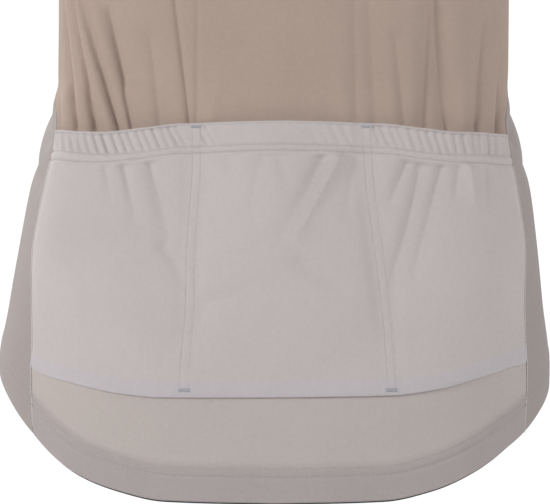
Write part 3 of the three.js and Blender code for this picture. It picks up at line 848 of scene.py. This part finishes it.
def bump_up(nodes, links, shader, height, strength, distance):
    bump = nodes.new("ShaderNodeBump")
    bump.inputs["Strength"].default_value = strength
    bump.inputs["Distance"].default_value = distance
    links.new(height, bump.inputs["Height"])
    links.new(bump.outputs["Normal"], shader.inputs["Normal"])


# Fine jersey knit: columns of loops in the weave's own coordinates, with yarn and dye a little uneven
def knit_material(name, color, wale=0.9, course=0.75, relief=0.12, sheen=0.2, mottle=0.05,
                  doubled_tint_and_painted_shade=None):
    material, nodes, links, shader = new_material(name)
    places = nodes.new("ShaderNodeUVMap")
    places.uv_map = "weave"
    split = nodes.new("ShaderNodeSeparateXYZ")
    links.new(places.outputs["UV"], split.inputs[0])
    across = math_node(nodes, links, "MULTIPLY", split.outputs["X"], math.pi / (wale * to_metres))
    up = math_node(nodes, links, "MULTIPLY", split.outputs["Y"], 2 * math.pi / (course * to_metres))
    column = math_node(nodes, links, "ABSOLUTE", math_node(nodes, links, "SINE", across))
    lean = math_node(nodes, links, "MULTIPLY", column, 2.2)
    loop = math_node(nodes, links, "SINE", math_node(nodes, links, "ADD", up, lean))
    loop = math_node(nodes, links, "MULTIPLY", loop, 0.35)
    height = math_node(nodes, links, "ADD", column, loop)

    yarn = noise(nodes, links, 420, 3)
    cloud = noise(nodes, links, 16, 4)
    uneven = math_node(nodes, links, "MULTIPLY", math_node(nodes, links, "ADD", yarn, cloud), 0.5)
    color_out = two_tones(nodes, links, uneven, color, mottle, 0.3, 0.7)
    links.new(color_out, shader.inputs["Base Color"])
    # Where the mask is 1 the colour is multiplied: painted shade on the tail's turned-up hem, a bluish tint
    # on the pocket's turned-under strip
    if doubled_tint_and_painted_shade is not None:
        painted_shade_and_tint_mask = nodes.new("ShaderNodeAttribute")
        painted_shade_and_tint_mask.attribute_name = "painted_shade_and_tint_mask"
        mix = nodes.new("ShaderNodeMixRGB")
        mix.blend_type = "MULTIPLY"
        mix.inputs["Color2"].default_value = doubled_tint_and_painted_shade
        links.new(painted_shade_and_tint_mask.outputs["Fac"], mix.inputs["Fac"])
        links.new(color_out, mix.inputs["Color1"])
        links.new(mix.outputs["Color"], shader.inputs["Base Color"])

    fuzz = math_node(nodes, links, "MULTIPLY", yarn, 0.5)
    bump_up(nodes, links, shader, math_node(nodes, links, "ADD", height, fuzz), relief, 0.0003)
    shader.inputs["Roughness"].default_value = 0.72
    shader.inputs["Specular IOR Level"].default_value = 0.25
    shader.inputs["Sheen Weight"].default_value = sheen
    shader.inputs["Sheen Roughness"].default_value = 0.45
    shader.inputs["Sheen Tint"].default_value = shade(color, 1.1)
    return material


# Thread, tape, coil or elastic: one colour with fine grain
def grained_material(name, color, grain=900, mottle=0.12, roughness=0.6, relief=0.2, metal=0.0):
    material, nodes, links, shader = new_material(name)
    speckle = noise(nodes, links, grain, 3)
    color_out = two_tones(nodes, links, speckle, color, mottle, 0.35, 0.65)
    links.new(color_out, shader.inputs["Base Color"])
    bump_up(nodes, links, shader, speckle, relief, 0.0002)
    shader.inputs["Roughness"].default_value = roughness
    shader.inputs["Metallic"].default_value = metal
    return material


sand_color = srgb(163, 145, 134)
taupe_color = srgb(175, 166, 162)
side_color = srgb(154, 145, 142)
grey_color = srgb(180, 173, 172)

sand_knit = knit_material("sand_knit", sand_color)
# Painted shade: the tail's turned-up hem is darkened, standing in for the hem turning down and away from the
# light
taupe_knit = knit_material("taupe_knit", taupe_color, doubled_tint_and_painted_shade=(0.82, 0.81, 0.85, 1))
side_knit = knit_material("side_knit", side_color)
grey_knit = knit_material("pale_grey_knit", grey_color, doubled_tint_and_painted_shade=(0.99, 1.0, 1.05, 1))
thread_sand = grained_material("thread_sand", srgb(150, 134, 124))
thread_taupe = grained_material("thread_taupe", srgb(170, 163, 161))
thread_grey = grained_material("thread_grey", srgb(168, 161, 162))
thread_pale = grained_material("thread_pale", srgb(184, 177, 176))
# Lightest thread: stitching on the side seams whose light colour is a painted highlight along the seam's edge
painted_highlight_thread = grained_material("painted_highlight_thread", srgb(205, 199, 198))
thread_bluish = grained_material("thread_bluish", srgb(166, 165, 170))
tape_weave = grained_material("tape_weave", srgb(156, 143, 134), grain=600, roughness=0.75)
coil_plastic = grained_material("coil_plastic", srgb(146, 134, 126), roughness=0.42, mottle=0.05)
dark_elastic = grained_material("dark_elastic", srgb(52, 48, 50), grain=700, roughness=0.7)
slider_metal = grained_material("slider_metal", srgb(150, 148, 145), grain=300, mottle=0.06,
                                roughness=0.32, relief=0.08, metal=0.95)


def finish_piece(piece, material, slot, *nodes):
    piece.data.materials.append(material)
    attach(piece, BODY)
    if nodes:
        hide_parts(*nodes)
    return piece


# Back, tail and sides
def build_back():
    chain = [("seat", None), ("casingBottom", 8), ("casingTop", 8), ("foldsTop", 42), ("armpit", 20),
             ("shoulder", 28), ("neck", 16)]
    piece = panel("back_cloth", chain, right_seam, left_seam, 388, 440, back_surface, even_thickness)
    finish_piece(piece, sand_knit, "sand_knit", "back_panel")


# The rows are close up to the top of the turned-up hem
hem_shares = np.concatenate([[0.004, 0.012], np.linspace(0.03, 0.58, 54), np.linspace(0.62, 0.96, 10),
                             [0.975, 0.985, 0.993, 0.999]])


def build_tail():
    chain = [("hem", None), ("seat", hem_shares)]
    piece = panel("tail_cloth", chain, right_seam, left_seam, 200, 380, tail_surface, hem_thickness)
    finish_piece(piece, taupe_knit, "taupe_knit", "back_tail")


def build_side(name, side):
    chain = [("hem", None), ("seat", hem_shares), ("casingBottom", 34), ("casingTop", 8), ("foldsTop", 34),
             ("armpit", 24)]
    right = lambda at: side * front_seam(at)
    piece = panel(f"side_cloth_{name}", chain, back_seam(side), right, 34, 110, side_surface,
                  hem_thickness)
    finish_piece(piece, side_knit, "side_knit", f"side_panel_{name}")


def build_front(name, side):
    chain = [("hem", None), ("seat", hem_shares), ("casingBottom", 30), ("casingTop", 8), ("foldsTop", 34),
             ("armpit", 26), ("shoulder", 40), ("neck", 16)]
    left = lambda at: side * front_seam(at)
    right = lambda at: side * front_angle(zip_opening / 2, at)
    piece = panel(f"front_cloth_{name}", chain, left, right, 68, 170, front_surface, hem_thickness)
    finish_piece(piece, sand_knit, "sand_knit", f"front_{name}")


# Pocket sheet and its gathered casing
def build_pockets():
    level["pocketBottom"] = lambda angle: level["seat"](angle) + seam_gap
    level["pocketTop"] = lambda angle: level["casingBottom"](angle) - 0.1
    lines = [lambda at, i=i: pocket_lines(at)[i] for i in range(4)]
    shares = np.concatenate([np.linspace(0.002, 0.05, 7), np.linspace(0.06, 0.96, 70),
                             np.linspace(0.97, 1, 6)])
    chain = [("pocketBottom", None), ("pocketTop", shares)]
    angle, at = panel_grid(chain, lines, [sewn(82, 130), sewn(58, 105), sewn(82, 130)])
    outer = pocket_surface(angle, at)
    normal = normals_of(outer, frame_of(body_point, angle, at)[1])
    turned = 1 - rise(at - level["seat"](angle), 9.5, 11.5)
    places = np.concatenate([weave_places(angle, at), turned[..., None]], axis=-1)
    piece = shell("pocket_cloth", outer, normal, pocket_knit, places)
    finish_piece(piece, grey_knit, "pale_grey_knit", "pocket_panel")

    shares = np.concatenate([np.linspace(0, 0.88, 34), np.linspace(0.9, 1, 9)])
    chain = [("casingBottom", None), ("casingTop", shares[1:])]
    angle, at = panel_grid(chain, lines, [sewn(190, 130), sewn(110, 105), sewn(190, 130)])
    outer = casing_surface(angle, at)
    normal = normals_of(outer, frame_of(body_point, angle, at)[1])
    casing = shell("pocket_casing_cloth", outer, normal, 1.3, weave_places(angle, at))
    finish_piece(casing, grey_knit, "pale_grey_knit", "pocket_casing")


# Stand collar
collar_lean = {"side": 3, "back": 2, "front": 5}
collar_climb = {"side": 0.92, "front": 0.86}
collar_foot = (seam_gap + 0.15) / collar_height
neck_ring = {name: float(value(0)) for name, value in ring_value.items()}


def collar_point(angle, share):
    climb = collar_height * share
    return ring_point(angle, {
        "shift": neck_ring["shift"],
        "halfWidth": neck_ring["halfWidth"] - collar_lean["side"] * share,
        "back": neck_ring["back"] - collar_lean["back"] * share,
        "front": neck_ring["front"] - collar_lean["front"] * share,
        "zBack": neck_ring["zBack"] + climb,
        "zSide": neck_ring["zSide"] + climb * collar_climb["side"],
        "zFront": neck_ring["zFront"] + climb * collar_climb["front"],
    })


def collar_frame(angle, share):
    point, normal, _, _ = frame_of(collar_point, angle, share, step=0.01)
    level_normal = normal.copy()
    level_normal[..., 2] = 0
    return point, unit(level_normal)


def collar_surface(angle, share):
    point, normal = collar_frame(angle, share)
    share = np.broadcast_to(share, np.shape(angle))
    depth = 0.35 * drift(point, 22, 1.4) * rise(share, 0, 0.3) + seam_dip(share * collar_height)
    depth = depth + groove(share * collar_height - 4)
    return point - normal * depth[..., None]


def build_collar():
    end = float(front_angle(zip_opening / 2, 0.0))
    angles = np.linspace(-end, end, 180)
    shares = np.concatenate([np.linspace(collar_foot, 0.12, 9), np.linspace(0.16, 0.93, 20),
                             [0.96, 0.985, 1]])
    angle, share = np.meshgrid(angles, shares)
    outer = collar_surface(angle, share)
    _, normal = collar_frame(angle, share)
    places = weave_places(angle * 0.4, share * collar_height)
    piece = shell("collar_cloth", outer, normal, doubled_knit, places)
    finish_piece(piece, sand_knit, "sand_knit", "collar")


# Tape over the neck seam, inside
def build_neck_tape():
    end = float(front_angle(zip_opening / 2 + 3, 0.0))
    angle, share = np.meshgrid(np.linspace(-end, end, 200), np.linspace(-0.07, 0.13, 9))
    point, normal = collar_frame(angle, share)
    outer = point - normal * (doubled_knit + 0.1)
    tape = shell("neck_tape", outer, normal, 0.6, weave_places(angle * 0.4, share * collar_height))
    finish_piece(tape, tape_weave, "sand_knit")


# Sleeves: strands from the armhole to a round cuff
sleeve_rows = 76
sleeve_bloom = 0.35
sleeve_columns = "turn share toTurn toShare halfWidth depth"
sleeve_folds = rows_of(sleeve_columns, [
    [-150, 0.10, -75, 0.42, 10, 2.9],
    [-170, 0.22, -110, 0.62, 10, 2.4],
    [160, 0.12, 88, 0.46, 10, 2.7],
    [172, 0.30, 118, 0.66, 9, 2.1],
    [30, 0.10, 58, 0.40, 12, 1.8],
    [-24, 0.14, -48, 0.46, 12, 1.6],
    [10, 0.55, 60, 0.72, 10, 1.1],
])


def armhole_loop(side, count=36):
    climb = np.linspace(flat_levels["armpit"], flat_levels["shoulder"], count)
    under = np.linspace(float(front_seam(-205)), float(even_seam(-205)), count // 2)[:-1]
    down = climb[1:-1][::-1]
    angle = np.concatenate([even_seam(climb), front_seam(down), under])
    at = np.concatenate([climb, down, np.full(len(under), flat_levels["armpit"])])
    point, normal, _, _ = frame_of(body_point, side * angle, at)
    return point, normal


def smoothed_round(values, passes):
    for _ in range(passes):
        values = (np.roll(values, 1, 0) + 2 * values + np.roll(values, -1, 0)) / 4
    return values


def sleeve_grid(side):
    point, normal = armhole_loop(side)
    lean = math.radians(sleeve_from_vertical)
    axis = np.array([side * math.sin(lean), 0, -math.cos(lean)])
    outwards = np.array([side * math.cos(lean), 0, math.sin(lean)])
    backwards = np.array([0, 1, 0])
    cuff = np.array([side * cuff_centre[0], cuff_centre[1], cuff_centre[2]])
    middle = point.mean(axis=0)
    tangent = np.roll(point, -1, 0) - np.roll(point, 1, 0)
    away = smoothed_round(unit(np.cross(normal, tangent)) * side, 12)
    start = point + away * seam_gap * 0.4 + axis * 0.15
    seen = point - middle
    turn = np.arctan2(seen @ backwards, seen @ outwards)
    end = cuff + cuff_radius * (np.cos(turn)[:, None] * outwards + np.sin(turn)[:, None] * backwards)
    length = np.linalg.norm(end - start, axis=1, keepdims=True)
    bloom = sleeve_bloom * np.maximum(0, away @ outwards)[:, None]
    leave = (axis + away * bloom) * length
    arrive = axis * length
    t = np.concatenate([[0, 0.004, 0.009, 0.016], np.linspace(0.026, 1, sleeve_rows)])[:, None, None]
    points = ((1 + 2 * t) * (1 - t) ** 2 * start + t * (1 - t) ** 2 * leave
              + t * t * (3 - 2 * t) * end - t * t * (1 - t) * arrive)
    return points, np.degrees(turn), t[:, 0, 0], length[:, 0]


def sleeve_normals(points):
    around = np.roll(points, -1, 1) - np.roll(points, 1, 1)
    down = np.gradient(points, axis=0)
    normal = unit(np.cross(around, down))
    outward = points - points.mean(axis=1, keepdims=True)
    return normal * np.sign(np.sum(normal * outward, axis=-1).mean())


# A grid's row at one distance from the cuff's edge, ending where it starts
def closed_row(grid, to_cuff, distance):
    row = np.array([values_at(distance, to_cuff[::-1, c], grid[::-1, c]) for c in range(grid.shape[1])])
    return np.vstack([row, row[:1]])


def build_sleeve(name, side):
    points, turn, share, length = sleeve_grid(side)
    normal = sleeve_normals(points)
    folds = 0
    for fold in sleeve_folds:
        u, v = turn[None, :], share[:, None]
        around = (u - fold["turn"] + 180) % 360 - 180
        run_u, run_v = (fold["toTurn"] - fold["turn"]) * 0.9, (fold["toShare"] - fold["share"]) * 200
        here_u, here_v = around * 0.9, (v - fold["share"]) * 200
        t = np.clip((here_u * run_u + here_v * run_v) / (run_u ** 2 + run_v ** 2), 0, 1)
        away = np.hypot(here_u - t * run_u, here_v - t * run_v)
        folds = folds + fold["depth"] * (1 - 0.7 * t ** 1.5) * bell(away, fold["halfWidth"])
    from_seam = share[:, None] * length[None, :]
    to_cuff = (1 - share[:, None]) * length[None, :]
    turned = turned_hem(to_cuff, 0.8, 0.35)
    depth = folds * rise(from_seam, 2, 14) * rise(to_cuff, 24, 50) + seam_dip(from_seam) - turned
    outer = points - normal * depth[..., None]
    uv = np.stack(np.broadcast_arrays(turn[None, :] * 0.9, to_cuff), axis=-1) * to_metres
    piece = shell(f"sleeve_cloth_{name}", outer, normal, knit + np.maximum(turned, 0), uv, ring=True)
    finish_piece(piece, sand_knit, "sand_knit", f"sleeve_{name}")
    rows = []
    for row in hem_rows:
        rows.append((closed_row(outer, to_cuff, row), closed_row(normal, to_cuff, row)))
    finish_piece(stitches(f"cuff_stitches_{name}", rows), thread_sand, "sand_knit")


# Rows of stitching
def build_stitches():
    hem_back, hem_side, hem_front = [], [], []
    ends = {side: float(back_seam(side)(-575.0)) for side in (-1, 1)}
    seam_front = float(front_seam(-545.0))
    zip_edge = float(front_angle(zip_opening / 2 + 1.5, -546.0))
    for row in hem_rows:
        angle = np.linspace(ends[-1] + 0.4, ends[1] - 0.4, 500)
        hem_back.append(path_on(tail_surface, angle, hem_station(angle, row)))
        for side in (-1, 1):
            angle = np.linspace(ends[side] + side * 0.4, side * (seam_front - 0.4), 160)
            hem_side.append(path_on(side_surface, angle, hem_station(angle, row)))
            angle = side * np.linspace(seam_front + 0.4, zip_edge, 160)
            hem_front.append(path_on(front_surface, angle, hem_station(angle, row)))
    finish_piece(stitches("hem_stitches_back", hem_back), thread_taupe, "taupe_knit")
    finish_piece(stitches("hem_stitches_sides", hem_side), thread_taupe, "side_knit")
    finish_piece(stitches("hem_stitches_fronts", hem_front), thread_sand, "sand_knit")

    seam_rows = []
    for side in (-1, 1):
        at = np.linspace(float(level["hem"](side * 57.0)) + 1, float(level["casingBottom"](side * 64.0)), 300)
        point, normal, _, _ = frame_of(body_point, back_seam(side)(at), at)
        lift = 0.1 + 0.2 * rise(at, -560, -530)
        seam_rows.append((point + normal * lift[:, None], normal))
    # Stitching on the side seams in light thread: real stitches, with their light colour a painted highlight
    # where the seam's edge catches the light
    threads = stitches("side_seam_threads", seam_rows, pitch=2.6, length=3.0, radius=0.3)
    finish_piece(threads, painted_highlight_thread, "side_knit")

    casing_rows = []
    angle = np.linspace(float(right_seam(-405.0)) + 1, float(left_seam(-405.0)) - 1, 700)
    for up in (0.3, casing_rows_apart(angle)):
        casing_rows.append(path_on(casing_surface, angle, level["casingBottom"](angle) + up))
    finish_piece(stitches("casing_stitches", casing_rows), thread_grey, "pale_grey_knit")

    pocket_rows = []
    for line in (pocket_seam_left, pocket_seam_right):
        for aside in (-pocket_rows_aside, pocket_rows_aside):
            low, high = -557.0, float(level["casingBottom"](17.0)) - 0.4
            at = np.linspace(low, high, 260)
            pocket_rows.append(path_on(pocket_surface, line(at) + np.degrees(aside / pocket_radius), at))
            at = np.linspace(high + 0.8, float(level["casingTop"](17.0)) - 1.5, 50)
            pocket_rows.append(path_on(casing_surface, line(at) + np.degrees(aside / pocket_radius), at))
    finish_piece(stitches("pocket_stitches", pocket_rows), thread_pale, "pale_grey_knit")

    bartacks = []
    for line in (pocket_seam_left, pocket_seam_right):
        for surface, at in ((pocket_surface, -559.2), (casing_surface, -384.2)):
            centre = float(line(at))
            angle = centre + np.degrees(np.linspace(-3.2, 3.2, 30) / pocket_radius)
            bartacks.append(path_on(surface, angle, np.full(30, at)))
    piece = stitches("bartacks", bartacks, pitch=0.5, length=2.4, radius=0.3, sink=-0.05, crosswise=True)
    finish_piece(piece, thread_bluish, "pale_grey_knit")

    zip_rows = []
    for side in (-1, 1):
        for away in (2.0, 6.5):
            at = np.linspace(-544, -3, 560)
            angle = side * front_angle(zip_opening / 2 + away, at)
            zip_rows.append(path_on(front_surface, angle, at))
    finish_piece(stitches("zip_stitches", zip_rows, pitch=3.0), thread_sand, "sand_knit")

    end = float(front_angle(zip_opening / 2, 0.0)) - 1
    angle = np.linspace(-end, end, 500)
    share = np.full(500, 4 / collar_height)
    points = collar_surface(angle, share)
    out = collar_frame(angle, share)[1]
    finish_piece(stitches("collar_stitches", [(points, out)], pitch=3.0), thread_sand, "sand_knit")


# Seam allowances inside, which also close the seams' gaps
def seam_strip(name, line, bottom, top, half_width=3.2, rows=150):
    at = np.linspace(bottom, top, rows)[:, None]
    aside = np.linspace(-half_width, half_width, 7)[None, :]
    centre, _, per_degree, _ = frame_of(body_point, line(at), at)
    angle = line(at) + aside / per_degree
    at = np.broadcast_to(at, angle.shape)
    point, normal, _, _ = frame_of(body_point, angle, at)
    inside = knit + 0.05
    return shell(name, point - normal * inside, normal, 0.7, weave_places(angle, at))


def build_seams():
    for name, side in (("left", 1), ("right", -1)):
        strip = seam_strip(f"seam_allowance_back_{name}", back_seam(side),
                           float(level["hem"](57.0)) + 2, -205)
        finish_piece(strip, side_knit, "side_knit")
        strip = seam_strip(f"seam_allowance_front_{name}", lambda at: side * front_seam(at),
                           float(level["hem"](123.0)) + 2, -205)
        finish_piece(strip, side_knit, "side_knit")


# The closed zip behind the fronts' edges
def zip_path(x, top_share, count=260):
    at = np.linspace(float(level["hem"](180.0)) + seam_gap, 0, count)
    angle = np.sign(x) * front_angle(abs(x), at)
    point, normal, _, _ = frame_of(body_point, angle, at)
    point = point - normal * (knit + 0.5)
    share = np.linspace(0.02, top_share, 30)
    collar_angle = np.full(30, np.sign(x) * float(front_angle(abs(x), 0.0)))
    on_collar, out = collar_frame(collar_angle, share)
    on_collar = on_collar - out * (doubled_knit + 0.5)
    points = np.vstack([point[:-4], on_collar])
    normals = np.vstack([normal[:-4], out])
    for _ in range(6):
        points[1:-1] = (points[:-2] + 2 * points[1:-1] + points[2:]) / 4
    return points, unit(normals)


tape_columns = (2.4, 3.4, 5, 8, 11, 13.6, 15)  # distances of the tapes' columns from the centre front


def build_zip():
    for name, side in (("left", 1), ("right", -1)):
        columns = [zip_path(side * x, 0.98) for x in tape_columns]
        outer = np.stack([points for points, _ in columns], axis=1)
        normal = np.stack([normals for _, normals in columns], axis=1)
        across = np.array(tape_columns)[None, :] * np.ones((len(outer), 1))
        along = np.broadcast_to(np.arange(len(outer))[:, None] * 2.0, across.shape)
        uv = np.stack([across, along], axis=-1) * to_metres
        tape = shell(f"zip_tape_cloth_{name}", outer, normal, 1.0, uv)
        finish_piece(tape, tape_weave, "zip_tape", f"zip_tape_{name}")
    teeth = [zip_path(side * 0.75, 0.66) for side in (-1, 1)]
    chain = zip_teeth("zip_teeth", teeth)
    finish_piece(chain, coil_plastic, "zip_coil", "zip_chain")


# Coil turns of both sides, in turn, from rounded bars across the zip
def zip_teeth(name, paths, pitch=1.7):
    groups = []
    for which, (path, normal) in enumerate(paths):
        travelled = travelled_along(path)
        places = np.arange(pitch * (1 + which / 2), travelled[-1], pitch)
        centre = values_at(places, travelled, path)
        out = unit(values_at(places, travelled, normal))
        along = unit(values_at(places + 0.5, travelled, path) - centre)
        side = unit(np.cross(out, along))
        groups.append((centre - out * 0.45, (side, along, out), (2.8, 0.52, 0.8)))
    return rounded_bars(name, groups)


# The dark gripper tape inside the back hem
def build_gripper():
    angle = np.linspace(-52, 52, 220)[None, :]
    up = np.array([-1.8, -0.5, 0.5, 1.5, 2.5, 3.5, 4.5, 5.5, 6.5, 8])[:, None]
    angle, up = np.broadcast_arrays(angle, up)
    at = level["hem"](angle) + up
    point, normal, _, _ = frame_of(body_point, angle, at)
    ribbed = 0.12 * np.cos(2 * np.pi * up / 2.0)
    outer = point - normal * (knit + seam_gap)
    piece = shell("gripper_tape", outer, normal, 0.9 + ribbed, weave_places(angle, at))
    finish_piece(piece, dark_elastic, "dark_elastic", "hem_gripper")


def background(nodes, color, strength):
    node = nodes.new("ShaderNodeBackground")
    node.inputs["Color"].default_value = color
    node.inputs["Strength"].default_value = strength
    return node


# Floor, light and camera
def build_stage():
    bpy.ops.mesh.primitive_plane_add(size=4.4, location=(0, 0.2, -1.35))
    floor = bpy.context.object
    floor.name = "floor"
    material, _, _, shader = new_material("floor_paper")
    shader.inputs["Base Color"].default_value = (0.88, 0.88, 0.87, 1)
    shader.inputs["Roughness"].default_value = 0.9
    floor.data.materials.append(material)

    world = bpy.data.worlds.new("studio")
    bpy.context.scene.world = world
    world.use_nodes = True
    nodes, links = world.node_tree.nodes, world.node_tree.links
    nodes.clear()
    seen = background(nodes, (1, 1, 1, 1), 1.05)
    lit = background(nodes, (0.97, 0.98, 1.0, 1), 0.25)
    path = nodes.new("ShaderNodeLightPath")
    mix = nodes.new("ShaderNodeMixShader")
    output = nodes.new("ShaderNodeOutputWorld")
    links.new(path.outputs["Is Camera Ray"], mix.inputs["Fac"])
    links.new(lit.outputs[0], mix.inputs[1])
    links.new(seen.outputs[0], mix.inputs[2])
    links.new(mix.outputs[0], output.inputs["Surface"])


light_columns = "name x y z size power"
lights = rows_of(light_columns, [
    ["key", 1970, 1380, 300, 800, 43],
    ["fill", -2190, 980, 300, 800, 30],
    ["behind_camera", 0, 2600, 200, 1000, 8],
    ["front_key", 1500, -1700, 500, 800, 24],
    ["front_fill", -900, -2300, 500, 1800, 18],
])


def build_lights():
    for row in lights:
        data = bpy.data.lights.new(row["name"], "AREA")
        data.size = row["size"] * to_metres
        data.energy = row["power"]
        lamp = bpy.data.objects.new(row["name"], data)
        bpy.context.scene.collection.objects.link(lamp)
        place = Vector((row["x"], row["y"], row["z"])) * to_metres
        lamp.location = place
        aim = Vector((0, 0, -0.4)) - place
        lamp.rotation_euler = aim.to_track_quat("-Z", "Y").to_euler()


def build_camera():
    distance, elevation = 2300, math.radians(4)
    aim = Vector((2.8, 0, -475))
    frame_width = 385  # what the photo's width shows at the aim
    eye = aim + Vector((0, distance * math.cos(elevation), distance * math.sin(elevation)))
    data = bpy.data.cameras.new("photo_view")
    data.sensor_width = 36
    data.lens = 36 * distance / frame_width
    data.clip_start = 0.05
    data.clip_end = 50
    camera = bpy.data.objects.new("photo_view", data)
    bpy.context.scene.collection.objects.link(camera)
    camera.location = eye * to_metres
    camera.rotation_euler = (aim - eye).to_track_quat("-Z", "Y").to_euler()
    bpy.context.scene.camera = camera


def metal_on_nodes():
    for name in ("zip_slider", "zip_pull"):
        piece = bpy.data.objects[name]
        piece.data.materials.clear()
        piece.data.materials.append(slider_metal)


build_back()
build_tail()
build_pockets()
build_collar()
build_neck_tape()
for name, side in (("left", 1), ("right", -1)):
    build_side(name, side)
    build_front(name, side)
    build_sleeve(name, side)
build_seams()
build_zip()
build_gripper()
build_stitches()
metal_on_nodes()
build_stage()
build_lights()
build_camera()
bpy.context.scene.view_settings.view_transform = "Standard"
